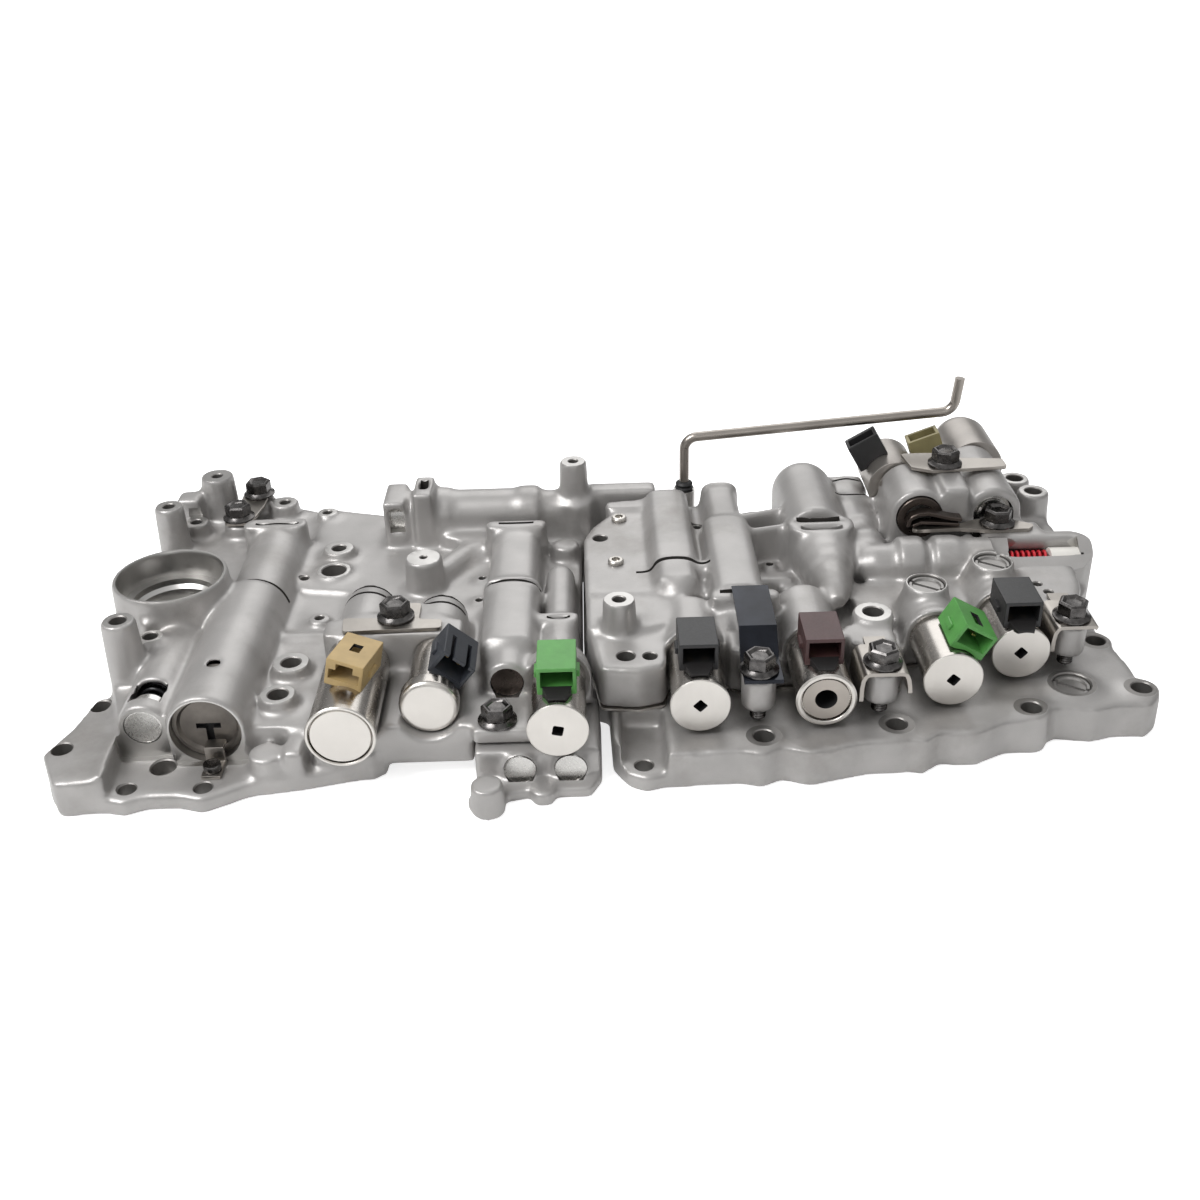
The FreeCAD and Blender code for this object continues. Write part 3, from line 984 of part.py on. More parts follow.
save("rear_plug", cyl_x(REAR_Y, REAR_Z, REAR_X + 2, REAR_X + 30, REAR_BORE_R - RUN_GAP))
sx, sy = CLIP_SCREW
screw = cyl_z(sx, sy, PAD_T + 1.5, PAD_T + 4.5, 3.2).fuse(cyl_z(sx, sy, PAD_T - 4, PAD_T + 1.6, 1.5))
save("clip_screw", screw)
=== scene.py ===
"""Looks of a gearbox valve body, put together in the order in which it is assembled."""
import json
import math

import bmesh
import bpy
import numpy as np
from mathutils import Matrix, Vector


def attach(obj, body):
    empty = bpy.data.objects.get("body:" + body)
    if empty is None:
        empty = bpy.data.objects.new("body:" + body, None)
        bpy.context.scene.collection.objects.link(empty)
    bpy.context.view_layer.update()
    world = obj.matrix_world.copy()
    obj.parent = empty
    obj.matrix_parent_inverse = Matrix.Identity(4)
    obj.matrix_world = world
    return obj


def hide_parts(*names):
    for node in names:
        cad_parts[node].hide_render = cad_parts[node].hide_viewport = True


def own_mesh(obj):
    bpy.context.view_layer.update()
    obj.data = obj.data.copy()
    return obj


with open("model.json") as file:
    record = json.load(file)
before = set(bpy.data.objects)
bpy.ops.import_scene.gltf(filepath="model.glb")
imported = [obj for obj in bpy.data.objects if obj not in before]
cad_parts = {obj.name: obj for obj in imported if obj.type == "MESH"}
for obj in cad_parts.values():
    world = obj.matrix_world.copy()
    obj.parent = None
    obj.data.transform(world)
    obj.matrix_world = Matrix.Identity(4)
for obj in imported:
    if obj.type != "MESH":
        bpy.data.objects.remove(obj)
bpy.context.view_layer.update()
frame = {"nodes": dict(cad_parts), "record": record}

# LEFT HOUSING
# An aluminium die casting. The bores, screw holes, seats and key slots are machined after casting, so
# the cast skin is rounded and grained, and the machined faces are bright with sharp edges.
MM = 0.001
UP = (0, 0, 1)
BACK = (0, 1, 0)


def turned(profile, origin, axis=UP, sides=48):
    """Shape turned about an axis from (distance along it, radius) pairs, base to top round the outside."""
    w = Vector(axis).normalized()
    u = w.orthogonal().normalized()
    v = w.cross(u)
    looped = profile[0] == profile[-1]
    points, faces, rings = [], [], []
    for along, radius in profile[:-1] if looped else profile:
        centre = Vector(origin) + w * along
        if radius == 0:
            rings.append([len(points)] * sides)
            points.append(centre)
            continue
        rings.append(list(range(len(points), len(points) + sides)))
        for i in range(sides):
            turn = 2 * math.pi * i / sides
            points.append(centre + (u * math.cos(turn) + v * math.sin(turn)) * radius)
    if looped:
        rings.append(rings[0])
    for low, high in zip(rings, rings[1:]):
        for i in range(sides):
            j = (i + 1) % sides
            face = []
            for corner in (low[i], low[j], high[j], high[i]):
                if corner not in face:
                    face.append(corner)
            if len(face) > 2:
                faces.append(face)
    return points, faces


def drum(start, end, radius, end_radius=None, sides=48):
    """Round bar or cone between two points."""
    run = Vector(end) - Vector(start)
    tail = radius if end_radius is None else end_radius
    return turned([(0, 0), (0, radius), (run.length, tail), (run.length, 0)], start, run, sides)


def brick(x0, x1, y0, y1, z0, z1):
    points = [Vector((x, y, z)) for z in (z0, z1) for x, y in ((x0, y0), (x1, y0), (x1, y1), (x0, y1))]
    faces = [[3, 2, 1, 0], [4, 5, 6, 7], [0, 1, 5, 4], [1, 2, 6, 5], [2, 3, 7, 6], [3, 0, 4, 7]]
    return points, faces


def barred(sections):
    """Solid bar through four-cornered sections."""
    points = [Vector(corner) for section in sections for corner in section]
    faces = [[3, 2, 1, 0], [len(points) - 4 + k for k in range(4)]]
    for i in range(0, len(points) - 4, 4):
        faces += [[i + k, i + (k + 1) % 4, i + 4 + (k + 1) % 4, i + 4 + k] for k in range(4)]
    return points, faces


def arched(x, z, y0, y1, inner, outer, low, high, steps=36):
    """Room of an arched slot across a bore along Y, between two angles in degrees."""
    sections = []
    for i in range(steps + 1):
        turn = math.radians(low + (high - low) * i / steps)
        sections.append([(x + radius * math.cos(turn), y, z + radius * math.sin(turn))
                         for radius, y in ((inner, y0), (outer, y0), (outer, y1), (inner, y1))])
    return barred(sections)


def lofted(section, x0, x1):
    """Bar along X with an outline of (y, z) points, listed the way round that faces -X outwards."""
    count = len(section)
    points = [Vector((x, y, z)) for x in (x0, x1) for y, z in section]
    sides = [[i, (i + 1) % count, count + (i + 1) % count, count + i] for i in range(count)]
    return points, [list(range(count))[::-1], list(range(count, 2 * count))] + sides


def moved(part, matrix):
    return [matrix @ Vector(p) for p in part[0]], part[1]


def made(name, parts, materials):
    """Object from (points in millimetres, faces) parts."""
    points, faces = [], []
    for part_points, part_faces in parts:
        base = len(points)
        points += [Vector(p) * MM for p in part_points]
        faces += [[base + i for i in face] for face in part_faces]
    mesh = bpy.data.meshes.new(name)
    mesh.from_pydata(points, [], faces)
    for material in materials:
        mesh.materials.append(material)
    mesh.update()
    piece = bpy.data.objects.new(name, mesh)
    bpy.context.scene.collection.objects.link(piece)
    return piece


def applied(piece):
    """Turns the piece's modifiers into plain mesh."""
    graph = bpy.context.evaluated_depsgraph_get()
    rough = piece.data
    piece.data = bpy.data.meshes.new_from_object(piece.evaluated_get(graph), preserve_all_data_layers=True,
                                                 depsgraph=graph)
    piece.modifiers.clear()
    bpy.data.meshes.remove(rough)
    piece.data.name = piece.name
    return piece


def edged(piece, degrees=35):
    """Smooth faces, sharp edges where the surface turns by more than the angle, and flat broad faces."""
    work = bmesh.new()
    work.from_mesh(piece.data)
    limit = math.radians(degrees)
    for face in work.faces:
        face.smooth = True
    for edge in work.edges:
        edge.smooth = len(edge.link_faces) == 2 and edge.calc_face_angle(0) < limit
    work.to_mesh(piece.data)
    work.free()
    even = piece.modifiers.new("even", "WEIGHTED_NORMAL")
    even.keep_sharp, even.weight = True, 100
    return applied(piece)


def machined_by(piece, tools, operation="DIFFERENCE"):
    """Cuts each tool shape from the piece, or joins it; the new faces take the tool's material."""
    for points, faces, material in tools:
        tool = made("tool", [(points, faces)], [material])
        step = piece.modifiers.new("step", "BOOLEAN")
        step.operation, step.solver, step.object = operation, "MANIFOLD", tool
        step.material_mode = "TRANSFER"
        applied(piece)
        bpy.data.objects.remove(tool)
    return piece


def chamfered(piece, width, segments=2, degrees=40):
    """Breaks the sharp edges of a piece."""
    bevel = piece.modifiers.new("edges", "BEVEL")
    bevel.width, bevel.segments, bevel.limit_method = width * MM, segments, "ANGLE"
    bevel.angle_limit = math.radians(degrees)
    return applied(piece)


def installed(piece, body, slot, *nodes):
    """The finished piece rides on its body in place of its CAD nodes."""
    edged(piece)
    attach(piece, body)
    if nodes:
        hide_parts(*nodes)
    return piece


def surface(name, colour, rough, metal=1.0, grain=900, depth=0.03, tones=0.12, spots=60, sway=0.08,
            stretch=(1, 1, 1), soil=None):
    """Finish with two tones, fine grain (depth in millimetres), uneven gloss and larger soiled areas."""
    material = bpy.data.materials.new(name)
    material.use_nodes = True
    nodes, links = material.node_tree.nodes, material.node_tree.links
    shader = nodes["Principled BSDF"]
    place = nodes.new("ShaderNodeTexCoord")
    lay = nodes.new("ShaderNodeMapping")
    lay.inputs["Scale"].default_value = stretch
    links.new(place.outputs["Object"], lay.inputs["Vector"])
    blotch = nodes.new("ShaderNodeTexNoise")
    blotch.inputs["Scale"].default_value = spots
    blotch.inputs["Detail"].default_value = 5
    links.new(place.outputs["Object"], blotch.inputs["Vector"])
    ramp = nodes.new("ShaderNodeValToRGB")
    ramp.color_ramp.elements[0].position = 0.3
    ramp.color_ramp.elements[1].position = 0.7
    ramp.color_ramp.elements[0].color = [c * (1 - tones) for c in colour] + [1]
    ramp.color_ramp.elements[1].color = [min(1, c * (1 + tones)) for c in colour] + [1]
    links.new(blotch.outputs["Fac"], ramp.inputs["Fac"])
    tint = ramp.outputs["Color"]
    if soil:
        smear = nodes.new("ShaderNodeTexNoise")
        smear.inputs["Scale"].default_value = 22
        smear.inputs["Detail"].default_value = 6
        smear.inputs["Roughness"].default_value = 0.65
        links.new(place.outputs["Object"], smear.inputs["Vector"])
        amount = nodes.new("ShaderNodeMapRange")
        amount.inputs["From Min"].default_value = 0.52
        amount.inputs["From Max"].default_value = 0.75
        amount.inputs["To Max"].default_value = 0.7
        links.new(smear.outputs["Fac"], amount.inputs["Value"])
        coat = nodes.new("ShaderNodeMix")
        coat.data_type = "RGBA"
        links.new(amount.outputs["Result"], coat.inputs[0])
        links.new(tint, coat.inputs[6])
        coat.inputs[7].default_value = [*soil, 1]
        tint = coat.outputs[2]
    links.new(tint, shader.inputs["Base Color"])
    fine = nodes.new("ShaderNodeTexNoise")
    fine.inputs["Scale"].default_value = grain
    fine.inputs["Detail"].default_value = 3
    links.new(lay.outputs["Vector"], fine.inputs["Vector"])
    gloss = nodes.new("ShaderNodeMapRange")
    gloss.inputs["To Min"].default_value = max(0.05, rough - sway)
    gloss.inputs["To Max"].default_value = min(1, rough + sway)
    links.new(fine.outputs["Fac"], gloss.inputs["Value"])
    links.new(gloss.outputs["Result"], shader.inputs["Roughness"])
    bump = nodes.new("ShaderNodeBump")
    bump.inputs["Distance"].default_value = depth * MM
    links.new(fine.outputs["Fac"], bump.inputs["Height"])
    links.new(bump.outputs["Normal"], shader.inputs["Normal"])
    shader.inputs["Metallic"].default_value = metal
    return material


cast_skin = surface("cast_aluminium", (0.405, 0.394, 0.385), 0.42, 0.55, grain=1500, depth=0.05, tones=0.09,
                    soil=(0.24, 0.225, 0.21))
milled = surface("milled_aluminium", (0.52, 0.51, 0.495), 0.34, 1.0, grain=2600, depth=0.004)
drilled = surface("drilled_aluminium", (0.27, 0.26, 0.25), 0.45, 0.8, grain=2600, depth=0.006)
shade = surface("bore_shade", (0.07, 0.065, 0.06), 0.5, 0.5, grain=900, depth=0.02)


def weathered(mesh, rounds, convex, rate=0.6):
    """Cast fillets: hollow corners fill out at full rate, and outer edges wear by the convex share."""
    count = len(mesh.vertices)
    points = np.empty(count * 3)
    mesh.vertices.foreach_get("co", points)
    points = points.reshape(-1, 3)
    edges = np.empty(len(mesh.edges) * 2, int)
    mesh.edges.foreach_get("vertices", edges)
    a, b = edges.reshape(-1, 2).T
    near = np.bincount(a, minlength=count) + np.bincount(b, minlength=count)
    quads = np.empty(len(mesh.loops), int)
    mesh.loops.foreach_get("vertex_index", quads)
    quads = quads.reshape(-1, 4)
    for _ in range(rounds):
        across = np.cross(points[quads[:, 2]] - points[quads[:, 0]],
                          points[quads[:, 3]] - points[quads[:, 1]])
        move, normal = np.empty_like(points), np.zeros_like(points)
        for i in range(3):
            around = np.bincount(a, points[b, i], count) + np.bincount(b, points[a, i], count)
            move[:, i] = around / near - points[:, i]
            for corner in quads.T:
                normal[:, i] += np.bincount(corner, across[:, i], count)
        hollow = (move * normal).sum(1) > 0
        points += move * np.where(hollow, rate, rate * convex)[:, None]
    mesh.vertices.foreach_set("co", points.ravel())
    mesh.update()


MERGE = 1e-6  # metres between the loose triangles' corners that are one point
COUNTERSINK = 0.5
BOSS_PROUD = 0.6


def casting(name, node, added, tools, voxel=0.9, rounds=30, share=0.45, convex=0.35):
    """Casting from its CAD solid: the added shapes close its bores, and the tools machine them again."""
    blank = made(name, added, [cast_skin])
    work = bmesh.new()
    work.from_mesh(blank.data)
    work.from_mesh(frame["nodes"][node].data)
    bmesh.ops.remove_doubles(work, verts=work.verts, dist=MERGE)
    work.to_mesh(blank.data)
    work.free()
    skin = blank.modifiers.new("skin", "REMESH")
    skin.mode, skin.voxel_size = "VOXEL", voxel * MM
    applied(blank)
    weathered(blank.data, rounds, convex)
    fewer = blank.modifiers.new("fewer", "DECIMATE")
    fewer.ratio = share
    applied(blank)
    blank.data.materials.clear()
    blank.data.materials.append(cast_skin)
    return machined_by(blank, tools)


def hole_plugs(holes):
    """Closed blanks of screw holes, from (x, y, top, radius, depth, boss radius) rows."""
    plugs = []
    for x, y, top, radius, depth, boss in holes:
        plugs.append(drum((x, y, top - depth), (x, y, top), radius + COUNTERSINK))
        if boss:
            plugs.append(drum((x, y, top - 2), (x, y, top + BOSS_PROUD), boss + 0.1, boss))
    return plugs


def hole_tools(holes, face=milled):
    """Spot face and drill of each screw hole; the drill leaves a small countersink."""
    tools = []
    for x, y, top, radius, depth, boss in holes:
        if boss:
            tools.append((*drum((x, y, top), (x, y, top + 4), boss + 1.5), face))
        mouth = radius + COUNTERSINK
        profile = [(-depth, 0), (-depth, radius), (-0.4, radius), (0.1, mouth), (3, mouth), (3, 0)]
        tools.append((*turned(profile, (x, y, top)), drilled))
    return tools


left_holes = [
    (-199, -47.6, 15, 3.8, 17, 0), (-193, -20.4, 15, 3.8, 17, 0), (-145.8, -62.4, 7, 3.3, 9, 0),
    (-173, -62, 7, 3.3, 9, 0), (-163.2, -49.6, 7, 4.6, 5.8, 0), (-122, -7.6, 24, 3.8, 9, 7.4),
    (-123, -29.4, 24, 3.8, 9, 6.8), (-116.5, 82, 26, 3, 8, 6.8), (-116.5, 65.5, 24, 5.2, 8, 7.4),
    (-117, 28.2, 22.5, 1.8, 4, 0), (-128.5, 61, 23, 1.9, 4, 0), (-75.6, 50.4, 37, 1.4, 4, 7.7),
    (-148.8, 130, 26, 2.5, 8, 6.3), (-186, 112, 26, 2.5, 8, 5.8), (-128, 122, 24, 2, 6, 4.8),
    (-52.6, 36.5, 24, 1.5, 4, 0), (-52.4, 55, 24, 1.5, 4, 0), (-184.2, -7.9, 45, 3.2, 16, 6.4),
    (-177.5, 3.4, 31, 2.8, 16, 5.0), (-192.5, 98, 41, 2.6, 16, 6.1), (-178.5, 131, 40, 2.4, 16, 7.3),
    (-13, 98, 57, 2, 16, 5.8)]
PORT = (-176.4, 35.8)
DAMPER = (-170.0, 20.0)
ACCU = (-146.5, 20.0)
CENTRE = (-38.0, 27.0)
REAR = (98, 34)
left_plugs = hole_plugs(left_holes) + [
    drum((*PORT, 20), (*PORT, 40.5), 22.8),
    drum((PORT[0] + 3, PORT[1] + 3, 0.1), (PORT[0] + 3, PORT[1] + 3, 24), 10.5),
    drum((DAMPER[0], -43.4, DAMPER[1]), (DAMPER[0], -30, DAMPER[1]), 8.8),
    drum((ACCU[0], -47.1, ACCU[1]), (ACCU[0], -30, ACCU[1]), 14.4),
    drum((ACCU[0] + 1, 40.5, ACCU[1]), (ACCU[0] + 1, 43.5, ACCU[1]), 12.6),
    drum((ACCU[0] + 2.2, 90, ACCU[1]), (ACCU[0] + 2.2, 94, ACCU[1]), 12.7),
    drum((-96.1, *REAR), (-70, *REAR), 8.5),
    drum((CENTRE[0], -31.3, CENTRE[1]), (CENTRE[0], -26, CENTRE[1]), 7.5),
    drum((CENTRE[0], 23, CENTRE[1]), (CENTRE[0], 29, CENTRE[1]), 10.4),
    drum((CENTRE[0], 72, CENTRE[1]), (CENTRE[0], 78, CENTRE[1]), 10.4),
]
left_tools = hole_tools(left_holes) + [
    (*drum((*PORT, 40), (*PORT, 44), 26), milled),
    (*turned([(20, 0), (20, 15.5), (25, 15.5), (26.5, 17), (29, 17), (29, 20.5), (38.6, 20.5), (40.2, 21.4),
              (44, 21.4), (44, 0)], (*PORT, 0), sides=96), milled),
    (*drum((PORT[0] + 3, PORT[1] + 3, 4), (PORT[0] + 3, PORT[1] + 3, 26), 10), shade),
    (*brick(-180.5, -160.4, -47, -43, 7.3, 34), milled),
    (*brick(-163, -130, -50, -46.7, 7.3, 38), milled),
    (*drum((DAMPER[0], -46, DAMPER[1]), (DAMPER[0], 26, DAMPER[1]), 7), milled),
    (*brick(DAMPER[0] - 6, DAMPER[0] + 6, -37, -25, 20, 40), milled),
    (*drum((ACCU[0], -50, ACCU[1]), (ACCU[0], 33.3, ACCU[1]), 13, sides=72), milled),
    (*brick(-148.7, -144.7, -25, -20.5, 20, 40), shade),
    (*arched(ACCU[0] + 1, ACCU[1], 41.2, 42.9, 11.4, 18, 8, 172), shade),
    (*brick(-153.8, -134.8, 91, 92.6, 24, 42), shade),
    (*drum((-98, *REAR), (-55, *REAR), 7.5), milled),
    (*brick(-94.1, -87.5, 84, 98, 30, 41), milled),
    (*brick(-80.5, -76.9, 92, 101, 34, 54), shade),
    (*drum((CENTRE[0], -34, CENTRE[1]), (CENTRE[0], -24, CENTRE[1]), 6.2), milled),
    (*arched(*CENTRE, 25.1, 26.9, 8.3, 17, 25, 155), shade),
    (*brick(CENTRE[0] - 7.5, CENTRE[0] + 7.5, 74.5, 76.3, 32, 47), shade),
    (*brick(-23.8, -14.8, 2.8, 4.4, 29, 39), shade),
]
for x, back, r in ((-94.8, 29.0, 10.8), (-65.5, 20.0, 10.6)):
    left_tools.append((*arched(x, 27, back - 2.6, back - 0.8, r - 3.4, r + 2, 7, 173), shade))
    left_tools.append((*arched(x, 27, back - 8.6, back - 7.0, r - 2.6, r + 2, 22, 158), shade))
left_housing = casting("left_housing", "left_casting", left_plugs, left_tools)
installed(left_housing, "valve_body", "casting_left", "left_casting")

# LOWER HOUSING
# A small aluminium die casting, screwed up under the left housing's front edge. Its two bores are drilled
# from the front and closed by bright plugs.
LOW_BORES = (-33.2, -15.1)
LOW_Z = 9
under_tools = [(*drum((x, -62, LOW_Z), (x, -40, LOW_Z), 5.9), milled) for x in LOW_BORES]
under_plugs = [drum((x, -60.3, LOW_Z), (x, -45, LOW_Z), 6.4) for x in LOW_BORES]
lower_housing = casting("lower_housing", "under_casting", under_plugs, under_tools, voxel=0.7)
installed(lower_housing, "valve_body", "casting_base", "under_casting")

# BASE PLATE
# The flat aluminium die casting under the right half. Its front edge is scalloped round the bolt holes,
# which are spot-faced and drilled, and one wider hole takes a screw plug.
base_holes = [
    (54, -54, 16.3, 3.8, 18, 6.4), (102.4, -49, 16.3, 3.8, 18, 6.4), (153.2, -41.2, 16.3, 3.8, 18, 6.4),
    (197.2, -30.4, 16.3, 3.8, 18, 6.4), (190.8, 3.3, 16.3, 3.8, 18, 6.4), (11, -57, 7, 3.3, 9, 0),
    (172.1, -27.3, 17, 7, 13, 9.3)]
base_plate = casting("base_plate", "base_casting", hole_plugs(base_holes), hole_tools(base_holes, drilled))
installed(base_plate, "valve_body", "casting_base", "base_casting")

# RIGHT HOUSING
# The largest casting: drafted bore housings, the dome and the stepped cone grow out of one flange. The
# slots across its bores take the retaining keys.
right_holes = [
    (4.1, -8.3, 48, 2.4, 14, 6.1), (5.9, -26, 34, 3.4, 18.5, 0), (14.8, -26.5, 34, 2.6, 18.5, 0),
    (-2.2, 60.9, 38, 3, 22.5, 0), (39.2, 74, 35, 2, 7, 0), (68.4, 52.5, 28, 1.5, 3.5, 0),
    (100.3, -6, 38, 3.8, 22.5, 7.7), (187.5, 116, 34, 3.6, 18.5, 6.6), (190.6, 98, 36, 3.6, 20.5, 6.8),
    (169, 15.5, 35.6, 1.7, 6, 0), (171.5, 9, 35.6, 1.7, 6, 0),
    (123.2, 7.6, 42, 7, 6.5, 8.4), (152.7, 23.5, 42, 7, 6.5, 8.4)]
BACK_X, BACK_Z = 130.5, 45.5
END_X, END_Z = 161.5, 45
FIRST_X, SECOND_X, FOURTH_X = 27.4, 50.8, 108.3
FIRST_SLOT_Y = 29.4
RELAY = (40.5, 32)
right_plugs = hole_plugs(right_holes) + [
    drum((BACK_X, 57.2, BACK_Z), (BACK_X, 82, BACK_Z), 11.2),
    drum((END_X, 58.2, END_Z), (END_X, 71, END_Z), 11.2),
    drum((FIRST_X, 28.5, 34), (FIRST_X, 32, 34), 8.6),
    drum((FOURTH_X, 86, 33), (FOURTH_X, 90, 33), 7.8),
    drum((FOURTH_X, 103.5, 33), (FOURTH_X, 107, 33), 7.8),
    drum((SECOND_X, 2, 33), (SECOND_X, 6, 33), 8.6)]
right_tools = hole_tools(right_holes) + [
    (*drum((BACK_X, 50, BACK_Z), (BACK_X, 80, BACK_Z), 9.6), milled),
    (*drum((END_X, 50, END_Z), (END_X, 70, END_Z), 8.4), milled),
    (*brick(11.8, 18.4, FIRST_SLOT_Y, 31, 36, 41), shade),
    (*arched(FIRST_X, 33, FIRST_SLOT_Y, 31, 8.2, 17, 20, 160), shade),
    (*brick(43, 58.6, 3, 4.6, 37, 47), shade),
    (*brick(79.4, 97.4, 55, 58.2, 38, 51), shade),
    (*brick(80.4, 97.6, 48.4, 51, 39, 51), cast_skin),
    (*brick(100.8, 114.4, 87.5, 89.1, 37, 47), shade),
    (*arched(FOURTH_X, 31, 104.5, 106.1, 7.6, 15, 27, 153), shade),
    (*lofted([(29, 52), (29, 33.2), (37.3, 36.4), (44, 41.4), (44, 52)], 156, 201), cast_skin),
    (*drum((141, *RELAY), (194, *RELAY), 5.5), milled),
    (*brick(164, 192.5, 37.3, 43.7, 32, 48), milled),
    (*brick(151.5, 154.5, 46, 52, 32, 44), shade)]
right_housing = casting("right_housing", "right_casting", right_plugs, right_tools)
installed(right_housing, "valve_body", "casting_right", "right_casting")

# FRONT SOLENOIDS
# Drawn and plated steel cans, each on a turned snout. Most faces have a small square hole; the two at the
# left are closed, one with an inset disc and one with a wide cap, and the fifth has a ring and a round hole.
plated = surface("plated_can", (0.50, 0.475, 0.445), 0.25, 1.0, grain=500, depth=0.006, tones=0.07, spots=40)
faced = surface("turned_face", (0.66, 0.635, 0.60), 0.36, 1.0, grain=900, depth=0.012, tones=0.05,
                stretch=(1, 1, 0.1))
ring_face = surface("ring_face", (0.42, 0.385, 0.35), 0.42, 0.9, grain=1200, depth=0.01)
# Near-black painted shade for the walls of holes, windows and slots, in place of the shade that falls inside
# them.
opening_shade = surface("dark_opening", (0.010, 0.010, 0.010), 0.7, 0.0, grain=300, depth=0.01)
SOLENOIDS = {  # axis x, face y, axis z, radius, length, turn of the face hole, connector tilt and turn
    "a": (-94.8, -62.7, 27, 12.5, 48, 0, 12, -14),
    "b": (-65.5, -46.3, 27, 10.9, 34, 0, 40, 0),
    "c": (-19.0, -62.6, 27, 10.9, 34, 12, 0, 0),
    "d": (31.5, -51.3, 28, 10.9, 34, 45, 0, 0),
    "e": (76.4, -50.2, 28, 10.9, 34, 0, 0, 0),
    "f": (124.0, -39.5, 28, 10.9, 30, 38, 30, 0),
    "g": (153.0, -22.8, 28, 10.9, 28, 42, 0, 0)}
SNOUT_R, SNOUT_L = 7, 14
NECK = 0.8  # neck of the wide-capped can, as a share of its cap
for key, (x, face, z, r, length, hole_turn, tilt, turn) in SOLENOIDS.items():
    end = length + SNOUT_L
    tail = [(length, r - 0.6), (length, SNOUT_R), (end, SNOUT_R), (end, 0)]
    if key == "a":
        profile = [(0.5, 0), (0.5, r - 1.9), (0.9, r - 1.6), (2.2, r - 1.6), (2.2, r - 1.3), (0.5, r - 1.2),
                   (0.1, r - 1.0), (0, r - 0.7), (0.1, r - 0.3), (0.5, r), (2.5, r), (3.0, r - 0.4)]
    elif key == "b":
        profile = [(0, 0), (0, r - 2.2), (0.15, r - 1.4), (0.5, r - 0.75), (1.1, r - 0.25), (1.9, r),
                   (6.0, r), (6.7, r - 0.4), (7.6, r * NECK + 0.5), (8.4, r * NECK), (20, r * NECK + 0.1)]
        tail[0] = (length, r * NECK)
    elif key == "e":
        profile = [(0.8, 0), (0.8, r - 2.6), (1.8, r - 2.4), (1.8, r - 2.1), (0.3, r - 1.9), (0, r - 1.6),
                   (0, r - 0.7), (0.5, r), (2.4, r), (2.9, r - 0.5)]
    else:
        profile = [(0, 0), (0, r - 0.35), (0.3, r), (1.7, r), (2.0, r - 0.3), (2.2, r - 0.9)]
        tail[0] = (length, r - 0.9)
    can = made("solenoid_%s_body" % key, [turned(profile + tail, (x, face, z), BACK, sides=96)],
               [plated, faced, ring_face])
    for polygon in can.data.polygons:
        if polygon.center.y < (face + 0.9) * MM:
            inside = math.hypot(polygon.center.x / MM - x, polygon.center.z / MM - z) < r - 2.5
            polygon.material_index = 2 if key == "e" and inside else 1
    if key == "e":
        # The round hole in the fifth face takes painted shade on its walls.
        machined_by(can, [(*drum((x, face - 1, z), (x, face + 12, z), 4.0), opening_shade)])
    elif hole_turn:
        spin = Matrix.Translation((x, face, z)) @ Matrix.Rotation(math.radians(hole_turn), 4, "Y")
        # The square hole's walls take painted shade.
        plug = made("square", [moved(brick(-1.95, 1.95, -2, 7, -1.95, 1.95), spin)], [opening_shade])
        chamfered(plug, 0.6, 3)
        step = can.modifiers.new("hole", "BOOLEAN")
        step.operation, step.solver, step.object = "DIFFERENCE", "MANIFOLD", plug
        step.material_mode = "TRANSFER"
        applied(can)
        bpy.data.objects.remove(plug)
    installed(can, "valve_body", "can_steel", "solenoid_%s_can" % key)


# CONNECTORS
# Moulded sockets on the cans, open to the front, with two contact blades, latching lugs at their sides and
# a tapered foot under the mouth. The tan, slate and one green socket have latch windows in their tops.
def plastic(name, colour, rough=0.42):
    return surface(name, colour, rough, 0.0, grain=1500, depth=0.02, tones=0.10, spots=180, sway=0.1)


MOULDED = {
    "a": (plastic("tan_nylon", (0.40, 0.285, 0.125)), "tan_plastic"),
    "b": (plastic("slate_nylon", (0.030, 0.034, 0.042)), "slate_plastic"),
    "c": (plastic("green_nylon", (0.085, 0.285, 0.065)), "green_plastic"),
    "d": (plastic("black_nylon", (0.016, 0.016, 0.017)), "black_plastic"),
    "e": (plastic("maroon_nylon", (0.060, 0.027, 0.027)), "maroon_plastic"),
    "f": (plastic("green_nylon_f", (0.085, 0.29, 0.065)), "green_plastic"),
    "g": (plastic("black_nylon_g", (0.016, 0.016, 0.017)), "black_plastic")}
brass = surface("contact_brass", (0.55, 0.40, 0.18), 0.3, 1.0, grain=800, depth=0.005)
foot_black = plastic("black_foot", (0.014, 0.013, 0.013))
PLUG_W, PLUG_L, PLUG_H = 14.0, 20.0, 9.0
